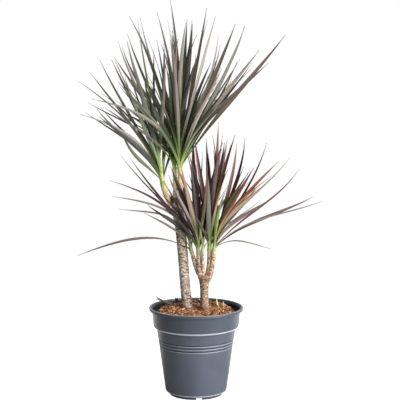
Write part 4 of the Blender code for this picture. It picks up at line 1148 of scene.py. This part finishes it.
def make_pot():
    """The pot: both sides of its wall turned as one line, with foot slots and drain holes cut out."""
    outside = rounded(outer_profile(), CORNER_ROUND)
    rim_wall = (collar_radius(RIM_Z - RIM_BEAD) - WALL, RIM_Z - RIM_BEAD)
    inside = rounded([*inner_profile(0), rim_wall, outside[0]], CORNER_ROUND)
    pot = turned("grower_pot", outside + inside, POT_STEPS)
    slots = [slot_cutter(FIRST_SLOT_ANGLE + i * math.tau / FOOT_SLOTS) for i in range(FOOT_SLOTS)]
    holes = [hole_cutter((i + 0.5) * math.tau / DRAIN_HOLES) for i in range(DRAIN_HOLES)]
    mesh = cut_away(pot, slots + holes)
    pot.modifiers.clear()
    pot.data = mesh
    mesh.shade_smooth()
    mesh.set_sharp_from_angle(angle=math.radians(POT_SMOOTH))
    mesh.materials.clear()
    mesh.materials.append(pot_plastic())
    return piece_for(pot, "pot_plastic", "pot")


# Coir


def mound(x, y, row):
    """1 in the middle of a hollow or heap, sinking to 0 round it."""
    at_x, at_y, radius, _ = row
    return np.exp(-((x - at_x) ** 2 + (y - at_y) ** 2) / radius**2)


def soil_height(radius, angle):
    """Height of the coir: level in the middle, sinking to the pot's wall most at the left and right,
    with a few hollows and heaps."""
    share = np.maximum(0.0, radius - SOIL_LEVEL_RADIUS) / (SOIL_WALL_RADIUS - SOIL_LEVEL_RADIUS)
    drop = SOIL_DROP_MEAN + SOIL_DROP_SWING * np.cos(2 * angle)
    height = SOIL_Z - drop * share**2
    x, y = radius * np.cos(angle), radius * np.sin(angle)
    for row in SOIL_HOLLOWS:
        height = height - row[-1] * mound(x, y, row)
    for row in SOIL_HEAPS:
        height = height + row[-1] * mound(x, y, row)
    return height


def in_hollow(x, y):
    return any(math.hypot(x - at_x, y - at_y) < radius for at_x, at_y, radius, _ in SOIL_HOLLOWS)


def make_coir():
    """The filling, turned to the pot's inside, with a crumbled surface."""
    draw = np.random.default_rng(SOIL_SEED)
    angle = turns(SOIL_STEPS)
    radius = np.linspace(SOIL_FIRST_RADIUS, SOIL_WALL_RADIUS, SOIL_RINGS)
    ring, turn = np.meshgrid(radius, angle, indexing="ij")
    x, y = ring * np.cos(turn), ring * np.sin(turn)
    relief = sum(share * smooth_noise(draw, ring.shape, cells, wrap=True) for cells, share in SOIL_NOISE)
    fading = np.clip((SOIL_WALL_RADIUS - ring) / SOIL_FADE, 0, 1)
    height = soil_height(ring, turn) + SOIL_RELIEF * relief * between((SOIL_WALL_RELIEF, 1), fading)
    below = np.array(inner_profile(GAP)[:0:-1])
    sides = np.stack([
        below[:, :1] * np.cos(angle), below[:, :1] * np.sin(angle), below[:, 1:] + 0 * angle,
    ], axis=-1)
    rows = np.concatenate([np.stack([x, y, height], axis=-1), sides])
    points = np.concatenate([rows.reshape(-1, 3), [(0, 0, SOIL_Z), (0, 0, below[-1, 1])]])
    quads, _ = tube_faces(len(rows), SOIL_STEPS)
    faces = quads[:, ::-1].tolist() + tube_fans(len(rows), SOIL_STEPS)
    mesh = mesh_of("coir_bed", points, faces, COARSE_SMOOTH)
    # Painted shade for the coir's colour: darker in low relief and most in the hollows.
    shade = np.full(len(points), SHADE_MIDDLE)
    sunk = sum(mound(x, y, row) for row in SOIL_HOLLOWS)
    shade[:ring.size] = (SHADE_MIDDLE + SHADE_OF_RELIEF * relief - SHADE_OF_HOLLOW * sunk).ravel()
    set_values(mesh, "height", shade)
    return piece_for(dressed("coir_bed", mesh, [coir_bed()]), "coir", "coir")


def on_coir(draw, margin, clear):
    """A place on the coir, away from the wall and the feet of the canes."""
    feet = [(*LIMBS[name]["start"][:2], LIMBS[name]["radii"][0]) for name in CANES]
    while True:
        radius = (SOIL_WALL_RADIUS - margin) * math.sqrt(draw.random())
        angle = draw.random() * math.tau
        x, y = radius * math.cos(angle), radius * math.sin(angle)
        if all(math.hypot(x - foot_x, y - foot_y) > size + clear for foot_x, foot_y, size in feet):
            return x, y, float(soil_height(radius, angle))


def turn_matrix(draw, tilt):
    """Any heading, with a tip and a roll that are usually less than the tilt."""
    heading = Matrix.Rotation(draw.random() * math.tau, 3, "Z")
    tip = Matrix.Rotation(draw.gauss(0, tilt), 3, "X")
    roll = Matrix.Rotation(draw.gauss(0, tilt), 3, "Y")
    return np.array(heading @ tip @ roll)


def make_chips():
    """Loose chips of husk and bark, lying in all directions on the coir."""
    draw = random.Random(CHIP_SEED)
    dark = list(CHIP_TONES).index("coir_dark")
    points, faces, slots = [], [], []
    for _ in range(CHIPS):
        x, y, z = on_coir(draw, CHIP_MARGIN, CHIP_CLEARANCE)
        length = draw.uniform(*CHIP_LENGTH) * (LONG_CHIP if draw.random() < LONG_CHIP_SHARE else 1.0)
        size = np.array((length, length * draw.uniform(*CHIP_WIDTH), length * draw.uniform(*CHIP_HEIGHT)))
        jitter = np.array([[draw.uniform(*CHIP_JITTER) for _ in range(3)] for _ in BOX_CORNERS])
        chip = (BOX_CORNERS * jitter * size) @ turn_matrix(draw, CHIP_TILT).T
        points.append(chip + (x, y, z + draw.uniform(0.0, CHIP_LIFT)))
        faces.append(BOX_FACES + len(BOX_CORNERS) * len(faces))
        tone = draw.choices(range(len(CHIP_TONES)), CHIP_SHARES)[0]
        # Painted shade: most chips in a hollow take the darkest tone.
        if in_hollow(x, y) and draw.random() < HOLLOW_SHADE_SHARE:
            tone = dark
        slots += [tone] * len(BOX_FACES)
    mesh = mesh_of("coir_chips", np.concatenate(points), np.concatenate(faces))
    set_faces(mesh, slots)
    return piece_for(dressed("coir_chips", mesh, crumbs_of(CHIP_TONES)), "coir")


def strand(points, radii, sides):
    """Points and faces of a closed round strand along a line of points."""
    points = np.asarray(points, float)
    ways = unit(np.gradient(points, axis=0))
    aside = unit(np.cross(ways, ASKEW))
    other = np.cross(ways, aside)
    angle = turns(sides)
    ring = np.cos(angle)[None, :, None] * aside[:, None] + np.sin(angle)[None, :, None] * other[:, None]
    rows = points[:, None] + ring * np.asarray(radii, float)[:, None, None]
    quads, _ = tube_faces(len(points), sides)
    return rows.reshape(-1, 3), quads.tolist() + tube_caps(len(points), sides)


def join_strands(name, strands, smooth_angle=50):
    """One mesh of several strands, each given as (points, faces, slot)."""
    points, faces, slots = [], [], []
    count = 0
    for some_points, some_faces, slot in strands:
        points.append(some_points)
        faces += [[corner + count for corner in face] for face in some_faces]
        slots += [slot] * len(some_faces)
        count += len(some_points)
    mesh = mesh_of(name, np.concatenate(points), faces, smooth_angle)
    set_faces(mesh, slots)
    return mesh


def make_fibres():
    """Loose coconut fibres, curling over the chips."""
    draw = random.Random(FIBRE_SEED)
    strands = []
    for _ in range(FIBRES):
        x, y, z = on_coir(draw, FIBRE_MARGIN, FIBRE_CLEARANCE)
        length = draw.uniform(*FIBRE_LENGTH)
        heading = draw.random() * math.tau
        bend = draw.uniform(-FIBRE_BEND, FIBRE_BEND)
        rise = draw.uniform(*FIBRE_RISE)
        line = []
        for t in np.linspace(0, 1, FIBRE_POINTS):
            x += math.cos(heading + bend * t) * length / FIBRE_POINTS
            y += math.sin(heading + bend * t) * length / FIBRE_POINTS
            line.append((x, y, z + FIBRE_LIFT + rise * math.sin(math.pi * t)))
        if max(math.hypot(px, py) for px, py, _ in line) < SOIL_WALL_RADIUS - FIBRE_END_MARGIN:
            radii = np.linspace(*FIBRE_RADII, FIBRE_POINTS)
            strands.append((*strand(line, radii, FIBRE_SIDES), draw.randrange(len(FIBRE_TONES))))
    mesh = join_strands("coir_fibres", strands)
    return piece_for(dressed("coir_fibres", mesh, crumbs_of(FIBRE_TONES)), "coir")


def curved(start, bend, end, steps):
    """Points of a curve from start to end, drawn towards bend."""
    start, bend, end = (np.array(point, float) for point in (start, bend, end))
    t = np.linspace(0, 1, steps)[:, None]
    return start * (1 - t) ** 2 + bend * 2 * t * (1 - t) + end * t**2


def rootlet(draw):
    """The line of one pale rootlet, which lies along the wall at the left or the right."""
    angle = draw.choice((0, math.pi)) + draw.gauss(0, ROOTLET_SPREAD)
    radius = SOIL_WALL_RADIUS - draw.uniform(*ROOTLET_MARGIN)
    start_rise, end_rise = ROOTLET_ENDS
    start = np.array((radius * math.cos(angle), radius * math.sin(angle), 0))
    start[2] = soil_height(radius, angle) + start_rise
    over = np.array((-math.sin(angle), math.cos(angle), 0)) * draw.uniform(-ROOTLET_REACH, ROOTLET_REACH)
    bend = start + over * 0.5 + (0, 0, draw.uniform(*ROOTLET_ARCH))
    end = (start + over) * ROOTLET_INWARD + (0, 0, end_rise)
    return curved(start, bend, end, len(ROOTLET_RADII))


def make_litter():
    """What stands on the coir: a forked dry twig, a dark stub, two cream sprouts and pale rootlets."""
    draw = random.Random(LITTER_SEED)
    tones = list(LITTER_TONES)
    strands = []
    for tone, sides, radii, start, bend, end in LITTER:
        line = curved(start, bend, end, len(radii))
        strands.append((*strand(line, radii, sides), tones.index(tone)))
    for _ in range(ROOTLETS):
        strands.append((*strand(rootlet(draw), ROOTLET_RADII, ROOTLET_SIDES), tones.index("sprout")))
    mesh = join_strands("coir_litter", strands)
    return piece_for(dressed("coir_litter", mesh, crumbs_of(LITTER_TONES)), "coir")


# Canes and shoots


def limb_length(name):
    return np.linalg.norm(np.subtract(LIMBS[name]["end"], LIMBS[name]["start"]))


def limb_line(name, steps):
    """Points at equal steps of a smooth curve from the limb's start to its end."""
    spec = LIMBS[name]
    start, end = np.array(spec["start"]), np.array(spec["end"])
    span = np.linalg.norm(end - start)
    out, into = unit(spec["sets_out"]) * span, unit(spec["arrives"]) * span
    t = np.linspace(0, 1, steps)[:, None]
    return (
        start * (2 * t**3 - 3 * t**2 + 1)
        + out * (t**3 - 2 * t**2 + t)
        + end * (3 * t**2 - 2 * t**3)
        + into * (t**3 - t**2)
    )


def limb_radii(name, steps):
    radii = LIMBS[name]["radii"]
    return np.interp(np.linspace(0, 1, steps), np.linspace(0, 1, len(radii)), radii)


def rings_round(line, radii, columns):
    """Rings of points round a line, each square to it; radii may differ round the ring."""
    ways = unit(np.gradient(line, axis=0))
    angle = turns(columns)
    rings = []
    for point, way, radius in zip(line, ways, radii):
        turn = np.array(Vector(UP).rotation_difference(Vector(way)).to_matrix())
        flat = np.stack([np.cos(angle), np.sin(angle), 0 * angle], axis=-1) @ turn.T
        rings.append(point + flat * np.broadcast_to(radius, (columns,))[:, None])
    return np.array(rings)


def leaf_scars(draw, heights, columns, spacing, tall, half_turn, depth):
    """Relief and darkness of the scars that dropped leaves left, each a golden angle on from the last.
    A scar is a raised lens across the stem with a dark groove under it."""
    angle = turns(columns)
    relief = np.zeros((len(heights), columns))
    dark = np.zeros_like(relief)
    for i in range(int(heights[-1] / spacing) + 2):
        middle = i * spacing + draw.uniform(-0.5, 0.5) * tall
        wide = half_turn * draw.uniform(0.6, 1.4)
        high = tall * draw.uniform(0.7, 1.2)
        away = (angle - i * GOLDEN_ANGLE - draw.uniform(-0.3, 0.3) + math.pi) % math.tau - math.pi
        share = np.clip(1 - (away / wide) ** 2, 0, 1)
        sag = high * (draw.uniform(0.1, 0.6) * (away / wide) ** 2 + draw.uniform(-0.25, 0.25) * away / wide)
        off = heights[:, None] - middle - sag[None, :]
        strength = draw.uniform(0.35, 1.0)
        ridge = share * np.exp(-((off / (RIDGE_HEIGHT * high)) ** 2))
        under = (off + GROOVE_BELOW * high) / (GROOVE_HEIGHT * high)
        groove = np.sqrt(share) * np.exp(-(under**2)) * strength
        relief = np.maximum(relief, ridge * strength) - groove * 0.5
        dark = np.maximum(dark * (1 - 0.5 * ridge), groove * draw.choice(GROOVE_SHADES))
    return np.clip(relief, -MOST_RELIEF, MOST_RELIEF) * depth, dark


def cut_ragged(rings, along, high, grid):
    """Slant and splinter the top end of a limb's rings, by about so much."""
    columns = rings.shape[1]
    splinters = smooth_noise(grid, (1, columns), (1, SPLINTERS), wrap=True)[0]
    slant = np.cos(turns(columns) - SLANT_TOWARDS) * SLANT_SHARE + (1 - SLANT_SHARE) * splinters
    rings[:, :, 2] += high * slant[None, :] * rising(along, CUT_SPAN)[:, None]


def bark_mesh(name, line, radii, columns, scars, seed, ragged_top=0.0, top_dark=0.0):
    """A limb with relief: rings of scars, bumps, and a cut top that may slant and splinter."""
    draw = random.Random(seed)
    grid = np.random.default_rng(seed)
    heights = np.concatenate([[0], np.cumsum(np.linalg.norm(np.diff(line, axis=0), axis=1))])
    along = heights / heights[-1]
    relief, dark = leaf_scars(draw, heights, columns, **scars)
    # Darker towards the top: partly a browner bark, partly painted shade under the crown.
    dark = dark + top_dark * rising(along, TOP_DARK_SPAN)[:, None]
    rows = max(LEAST_LUMP_ROWS, int(heights[-1] / LUMP_HEIGHT))
    lumps = smooth_noise(grid, relief.shape, (rows, LUMPS_ROUND), wrap=True)
    crust = smooth_noise(grid, relief.shape, (rows * CRUST_ROWS, CRUST_ROUND), wrap=True)
    full = radii[:, None] * (1 + LUMP_SHARE * lumps) + relief + CRUST_SHARE * scars["depth"] * crust
    rings = rings_round(line, full, columns)
    if ragged_top:
        cut_ragged(rings, along, ragged_top, grid)
        dark = np.maximum(dark, CUT_DARK * rising(along, CUT_DARK_SPAN)[:, None])
    core = rings[-1].mean(axis=0)
    inner = [core + (rings[-1] - core) * share - (0, 0, sunk) for share, sunk in TOP_RINGS]
    rings = np.concatenate([rings, inner])
    dark = np.concatenate([dark, np.tile(dark[-1], (len(TOP_RINGS), 1))])
    quads, corners = tube_faces(len(rings), columns)
    faces = quads.tolist() + tube_caps(len(rings), columns)
    mesh = mesh_of(name, rings.reshape(-1, 3), faces, COARSE_SMOOTH)
    angle = turns(columns)
    caps = cap_corners(0.5 + 0.5 * np.cos(angle), MAP_CAP * (1 + np.sin(angle)), LIMB_CAPS_APART)
    corners[:, 1] = along_map(corners[:, 1])
    lay_map(mesh, np.concatenate([corners, caps]))
    set_values(mesh, "scar", np.clip(dark, 0, 2).ravel())
    return mesh


def make_cane(name):
    """A cane that starts a little down in the coir, with its root flare."""
    spec = CANES[name]
    steps = int(limb_length(name) / CANE_STEP)
    line, radii = limb_line(name, steps), limb_radii(name, steps)
    foot_line = [line[0] - (0, 0, depth) for depth, _ in CANE_FOOT]
    foot_radii = [radii[0] * flare for _, flare in CANE_FOOT]
    line = np.concatenate([foot_line, line])
    radii = np.concatenate([foot_radii, radii])
    mesh = bark_mesh(name + "_bark", line, radii, **spec["bark"])
    material = cane_bark(name + "_bark", *spec["tones"])
    return piece_for(dressed(name + "_bark", mesh, [material]), "bark", name)


def make_shoot(head, material, seed):
    """A shoot with the stem of its head of leaves, as one limb."""
    name = HEADS[head]["on"]
    stem = Stem(head)
    steps = int((limb_length(name) + stem.length) / SHOOT_STEP * SHOOT_STEP_SHARE)
    line = np.concatenate([limb_line(name, steps), stem.at_height(SHOOT_STEM[:, None])])
    radii = np.concatenate([limb_radii(name, steps), stem.radius(SHOOT_STEM)])
    mesh = bark_mesh(name + "_bark", line, radii, SHOOT_COLUMNS, SHOOT_SCARS, seed)
    return piece_for(dressed(name + "_bark", mesh, [material]), "shoot_bark", name)


# Leaves


class Stem:
    """The stem of a head of leaves, a gap above its shoot."""

    def __init__(self, head):
        spec = HEADS[head]
        shoot = LIMBS[spec["on"]]
        foot_way = unit(shoot["arrives"])
        self.way = unit((*spec["leans"], 1))
        self.length = spec["stem_length"]
        self.foot = np.array(shoot["end"]) + foot_way * GAP
        self.top = self.foot + unit(foot_way + self.way) * self.length
        self.radii = spec["radii"]

    def at_height(self, share):
        return between((self.foot, self.top), share)

    def root(self, share):
        """Point on the middle line, from the lowest leaf root at 0 to the highest at 1."""
        lowest = self.foot + unit(self.top - self.foot) * ROOT_RISE
        highest = self.foot + (self.top - self.foot) * ROOT_TOP
        return between((lowest, highest), share)

    def radius(self, share):
        return between(self.radii, share)


def level_across(way):
    return unit((-way[1], way[0], 0))


def turn_showing(way, face, side):
    """Turn of a leaf about its midrib by which it shows its width to the front: all of it where face
    is 1, and the least share where it is 0, turned away to one side or the other."""
    face = between((LEAST_SHOWN, 1.0), face)
    across = level_across(way)
    flat = unit(np.cross(way, FRONT))
    aim = flat * face + np.cross(way, flat) * side * math.sqrt(1 - face * face)
    turn = math.atan2(way @ np.cross(across, aim), across @ aim)
    return (turn + math.pi / 2) % math.pi - math.pi / 2


def folded(bent, keel):
    """Slope, place across and height of the section's points over the midrib, for half a width of 1:
    one round arc where keel is 0, and two flatter halves with a crease between them where it is 1."""
    thirds = np.arange(4) / 3
    slope = bent * ((1 - keel) * thirds + keel * (thirds > 0))
    middle = bent * ((1 - keel) * (thirds[1:] - 1 / 6) + keel)
    start = np.zeros((len(slope), 1))
    across = np.concatenate([start, np.cumsum(np.cos(middle), axis=1) / 3], axis=1)
    above = np.concatenate([start, np.cumsum(np.sin(middle), axis=1) / 3], axis=1)
    return slope[:, FROM_MIDRIB], across[:, FROM_MIDRIB], above[:, FROM_MIDRIB]


class Leaf:
    """One leaf: its root, its tip, and how it bows, turns, sways, curls at its end and folds."""

    def __init__(self, stem, share, tip, bow, turn, sway, tone, wide, draw):
        self.stem = stem
        self.share = share
        self.root = stem.root(share)
        self.tip = np.asarray(tip, float)
        wave = LEAF_WAVE * (1 - (unit(self.tip - self.root) @ UP) ** 2)
        self.bow = bow + MIDDLE_CURL * wave  # which keeps the middle of the leaf at its height
        self.turn = turn
        self.sway = sway
        self.tone = tone
        self.width = LEAF_WIDTH * wide * draw.uniform(*WIDTH_SPREAD)
        self.width *= min(1.0, np.linalg.norm(self.tip - self.root) / FULL_WIDTH_LENGTH)
        self.curl = (draw.gauss(0, CURL_SPREAD) - wave, draw.gauss(0, CURL_SPREAD))
        self.fold = draw.uniform(*FOLD_SPREAD)

    def swing(self, degrees):
        turn = np.array(Matrix.Rotation(math.radians(degrees), 3, "Z"))
        self.tip = self.root + turn @ (self.tip - self.root)

    def middle(self):
        """The middle line: up the stem's skin at first, then along the source's curve."""
        s = STATIONS[:, None]
        chord = self.tip - self.root
        length = np.linalg.norm(chord)
        way = chord / length
        across = level_across(way)
        lift = unit(UP - way * (UP @ way))
        bend = (self.root + self.tip) / 2 + (lift * 2 * self.bow + across * self.sway) * length
        blade = self.root * (1 - s) ** 2 + bend * 2 * s * (1 - s) + self.tip * s**2
        end_curl = CURL_SCALE * s**2 * (1 - s) * length
        blade = blade + (lift * self.curl[0] + across * self.curl[1]) * end_curl
        outward = unit(way - self.stem.way * (way @ self.stem.way))
        skin = self.root + outward * self.stem.radius(self.share)
        skin = skin + self.stem.way * (s * length - SHEATH_DROP)
        leaving = ease(s * length / SHEATH_LENGTH)
        return skin * (1 - leaving) + blade * leaving, leaving, outward

    def rings(self):
        """The closed section at each station, as an array of stations by points by xyz."""
        line, leaving, outward = self.middle()
        s = STATIONS[:, None]
        along = unit(np.gradient(line, STATIONS, axis=0))
        across = level_across(unit(self.tip - self.root))
        face = unit(np.cross(along, across))
        turn = self.turn * np.minimum(1.0, 2 * s)
        side = across * np.cos(turn) + face * np.sin(turn)
        clasping = np.cross(self.stem.way, outward)
        side = side * leaving + clasping * (1 - leaving)
        side = unit(side - along * (side * along).sum(axis=1, keepdims=True))
        normal = np.cross(along, side)
        fullness = LEAF_ROOT_WIDTH + (1 - LEAF_ROOT_WIDTH) * ease(s / FULL_WIDTH_AT)
        fullness = fullness * (1 - s**LEAF_TAPER)
        foot_half = CLASP_ANGLE * (self.stem.radius(self.share) + CLASP_GAP)
        half = np.maximum(foot_half * (1 - leaving) + self.width / 2 * fullness * leaving, LEAST_HALF_WIDTH)
        bent = CLASP_ANGLE * (1 - leaving) + self.fold * (1 - FOLD_LOSS * s) * leaving
        angle, across_half, above_half = folded(bent, leaving)
        angle = (angle * np.sign(SECTION))[:, :, None]
        aside = (half * across_half * np.sign(SECTION))[:, :, None]
        above = (half * above_half)[:, :, None]
        skin = line[:, None] + side[:, None] * aside + normal[:, None] * above
        outwards = normal[:, None] * np.cos(angle) - side[:, None] * np.sin(angle)
        slim = np.minimum(1.0, 3 * (1 - s) + LEAF_TIP_THICKNESS)
        thick = (LEAF_EDGE + (LEAF_THICKNESS - LEAF_EDGE) * (1 - SECTION[None, :] ** 2)) * slim
        thick = thick * (np.arange(len(SECTION)) > UPPER_FACES)
        return skin - outwards * thick[:, :, None]


def limb_cloud(skipped):
    """Points along every limb, and every head's stem, but the one skipped, with the radius at each."""
    lines, radii = [], []
    for name in LIMBS:
        if name != skipped:
            lines.append(limb_line(name, CLOUD_STEPS))
            radii.append(limb_radii(name, CLOUD_STEPS))
    shares = np.linspace(0, 1, STEM_CLOUD_STEPS)
    for head, spec in HEADS.items():
        if spec["on"] != skipped:
            lines.append(Stem(head).at_height(shares[:, None]))
            radii.append(Stem(head).radius(shares))
    return np.concatenate(lines), np.concatenate(radii)


def clears(leaf, cloud):
    points, radii = cloud
    skin = leaf.rings()[FOOT_STATIONS:].reshape(-1, 3)
    gaps = np.linalg.norm(skin[:, None] - points[None], axis=2) - radii[None]
    return gaps.min() > LEAF_CLEARANCE


def finds_room(leaf, cloud):
    """Swing the leaf round its root by growing angles until it touches no limb; False if it never does."""
    tip = leaf.tip
    for degrees in SWINGS:
        leaf.tip = tip
        leaf.swing(degrees)
        if clears(leaf, cloud):
            return True
    return False


def reaching_leaves(head, rows, seed):
    """Leaves that run to named places, the flattest of them lowest on the stem."""
    stem = Stem(head)
    draw = random.Random(seed)
    rows = sorted(rows, key=lambda row: unit(np.array(row[:3]) - stem.foot) @ UP)
    leaves = []
    for i, (x, y, z, bow, face, tone, *more) in enumerate(rows):
        share = ((i + FIRST_REACHING) / len(rows)) ** ROOTS_LOW
        tip = np.array((x, y, z))
        turn = turn_showing(unit(tip - stem.root(share)), face, draw.choice((-1, 1)))
        width = more[0] if more else HEADS[head]["width"]
        sway = more[1] if len(more) > 1 else 0
        leaves.append(Leaf(stem, share, tip, bow, turn, sway, tone, width, draw))
    return leaves


def parted(angle, parting):
    """The heading moved round from the front, where no leaf comes nearer to it than the parting."""
    off = (angle + math.pi / 2 + math.pi) % math.tau - math.pi
    return math.copysign(parting + abs(off) * (1 - parting / math.pi), off) - math.pi / 2


def spiral_way(spec, i, share, draw):
    """The way that leaf i of the spiral sets out on a stem that stands upright."""
    parting = math.radians(spec["parting"]) * (1 - share)
    angle = parted(math.radians(spec["first"]) + i * GOLDEN_ANGLE, parting)
    lean = between(spec["lean"], share) + draw.uniform(-LEAN_SPREAD, LEAN_SPREAD)
    if math.cos(angle) > RIGHT_HAND:
        lean = min(lean, spec.get("right_lean", lean))
    lean = math.radians(lean)
    way = np.array((math.sin(lean) * math.cos(angle), math.sin(lean) * math.sin(angle), math.cos(lean)))
    if way[1] < 0 and way[0] * spec.get("outward", 0) < 0:
        way[0] *= -1
    return way


def spiral_leaves(head):
    """Leaves by the spiral rule: each a golden angle on from the last, higher and more upright."""
    spec = HEADS[head]
    stem = Stem(head)
    draw = random.Random(spec["seed"] * 100)
    leaning = np.array(Vector(UP).rotation_difference(Vector(stem.way)).to_matrix())
    leaves = []
    for i in range(spec["leaves"]):
        share = (i + FIRST_OF_SPIRAL) / spec["leaves"]
        way = spiral_way(spec, i, share, draw)
        length = between(spec["length"], share) * draw.uniform(*LENGTH_SPREAD)
        turn = draw.uniform(-1, 1) * LEAF_TURN
        sway = draw.uniform(-1, 1) * LEAF_SWAY
        low = share**ROOTS_LOW
        tip = stem.root(low) + leaning @ way * length
        tone = draw.choice(spec["often"])
        bow = between(spec["bow"], share)
        leaves.append(Leaf(stem, low, tip, bow, turn, sway, tone, spec["width"], draw))
    return leaves


def head_leaves(head):
    """All leaves of a head; a spiral leaf that finds no room between the limbs is left out."""
    spec = HEADS[head]
    cloud = limb_cloud(spec["on"])
    leaves = reaching_leaves(head, spec["reach"], spec["seed"])
    leaves += reaching_leaves(head, spec["more"], spec["seed"] + 1)
    return leaves + [leaf for leaf in spiral_leaves(head) if finds_room(leaf, cloud)]


def leaf_corners(cell, cells):
    """Place of each face corner of one leaf on the map: its upper face in one cell, its underside in
    the next, both running from the foot at 0 to the tip at 1."""
    stations, sides = len(STATIONS), len(SECTION)
    column = np.arange(sides)
    middle = cell + (column >= UPPER_FACES) + 0.5
    first = (middle + HALF_CELL * SECTION) / cells
    second = (middle + HALF_CELL * np.roll(SECTION, -1)) / cells
    across = np.stack([first, second, second, first], axis=-1)
    across = np.broadcast_to(across, (stations - 1, sides, 4))
    low, high = STATIONS[:-1, None], STATIONS[1:, None]
    along = np.stack([low, low, high, high], axis=-1)
    along = np.broadcast_to(along, (stations - 1, sides, 4))
    quads = np.stack([across, along_map(along)], axis=-1).reshape(-1, 2)
    angle = turns(sides)
    half_width, half_height = LEAF_CAP_SIZE
    cap_across = (cell + 0.5 + half_width * np.cos(angle)) / cells
    return quads, cap_corners(cap_across, MAP_CAP + half_height * np.sin(angle), LEAF_CAPS_APART)


def make_leaves(head, skins, slot_name):
    """All leaves of a head as one mesh, each leaf in the skin of its tone."""
    tones = list(skins)
    leaves = head_leaves(head)
    slots = [tones.index(leaf.tone) for leaf in leaves]
    spots = [leaf_corners(2 * slot, 2 * len(tones)) for slot in slots]
    stations, sides = len(STATIONS), len(SECTION)
    quads, _ = tube_faces(stations, sides)
    caps = np.array(tube_caps(stations, sides))
    first_points = np.arange(len(leaves)) * stations * sides
    points = np.concatenate([leaf.rings().reshape(-1, 3) for leaf in leaves])
    walls = np.concatenate([quads + first for first in first_points])
    ends = np.concatenate([caps + first for first in first_points])
    mesh = mesh_of(head, points, walls.tolist() + ends.tolist(), LEAF_SMOOTH)
    lay_map(mesh, np.concatenate([wall for wall, _ in spots] + [end for _, end in spots]))
    set_faces(mesh, np.concatenate([np.repeat(slots, len(quads)), np.repeat(slots, len(caps))]))
    return piece_for(dressed(head + "_blades", mesh, skins.values()), slot_name, head)


# Studio


def soft_light(name, place, size, energy):
    """A square lamp that shines at the middle of the plant."""
    light = bpy.data.lights.new(name, "AREA")
    light.shape = "SQUARE"
    light.size = size
    light.energy = energy
    lamp = new_object(name, light)
    lamp.location = place
    lamp.rotation_euler = (Vector(LIT_MIDDLE) - Vector(place)).to_track_quat("-Z", "Y").to_euler()


def make_world():
    """White as seen; what lights the object is a bright backdrop and a softer grey all round."""
    world = bpy.data.worlds.new("studio")
    world.use_nodes = True
    bpy.context.scene.world = world
    graph = Graph(world.node_tree)
    seen = graph.add("ShaderNodeLightPath")
    way = graph.add("ShaderNodeTexCoord")
    facing = graph.add("ShaderNodeVectorMath", {0: way, 1: (0, 1, 0)}, output=1, operation="DOT_PRODUCT")
    backdrop = graph.rise(facing, *BACKDROP_SPAN, ROUND_LIGHT, BACKDROP_LIGHT)
    strength = graph.add("ShaderNodeMapRange", {"Value": seen, "To Min": backdrop, "To Max": 1.0})
    back = graph.nodes["Background"]
    graph.feed(back.inputs["Color"], WHITE)
    graph.feed(back.inputs["Strength"], strength)


def make_floor():
    """A pale table top, which fades into the white behind it."""
    angle = turns(FLOOR_SIDES)
    rim = np.stack([FLOOR_RADIUS * np.cos(angle), FLOOR_RADIUS * np.sin(angle), 0 * angle], axis=-1)
    mesh = mesh_of("studio_floor", rim, [range(FLOOR_SIDES)])
    finish = Finish("studio_floor", 0.9)
    away = finish.add("ShaderNodeVectorMath", {0: finish.place}, output=1, operation="LENGTH")
    finish.set("Base Color", finish.mix(finish.noise(3, 2), *FLOOR_GREYS))
    finish.set("Emission Color", WHITE)
    behind = finish.rise(finish.parts(finish.place)[1], *FLOOR_WHITE, 0.0, FLOOR_GLOW)
    seen = finish.times(finish.add("ShaderNodeLightPath"), FLOOR_GLOW_SEEN)
    finish.set("Emission Strength", finish.math("MAXIMUM", seen, behind))
    finish.set("Alpha", finish.rise(away, *[share * FLOOR_RADIUS for share in FLOOR_FADE], 1, 0))
    dressed("studio_floor", mesh, [finish.material])


def make_camera():
    camera = bpy.data.cameras.new("camera")
    camera.lens = CAMERA_LENS
    camera.sensor_width = CAMERA_SENSOR
    camera.clip_end = 100
    eye = new_object("camera", camera)
    eye.location = CAMERA_PLACE
    eye.rotation_euler = (math.pi / 2 - CAMERA_DOWN, 0, 0)
    bpy.context.scene.camera = eye


def make_studio():
    make_camera()
    make_world()
    make_floor()
    for lamp in LAMPS:
        soft_light(*lamp)
    bpy.context.scene.view_settings.view_transform = "Standard"


def main():
    make_studio()
    make_pot()
    make_coir()
    make_chips()
    make_fibres()
    make_litter()
    for name in CANES:
        make_cane(name)
    barks = {crown: shoot_bark(crown + "_shoot_bark", *spec["bark"]) for crown, spec in CROWNS.items()}
    skins = {crown: leaf_skins(crown) for crown in CROWNS}
    for seed, head in enumerate(HEADS, FIRST_SHOOT_SEED):
        crown = head.split("_")[0]
        make_shoot(head, barks[crown], seed)
        make_leaves(head, skins[crown], crown + "_leaves")


main()
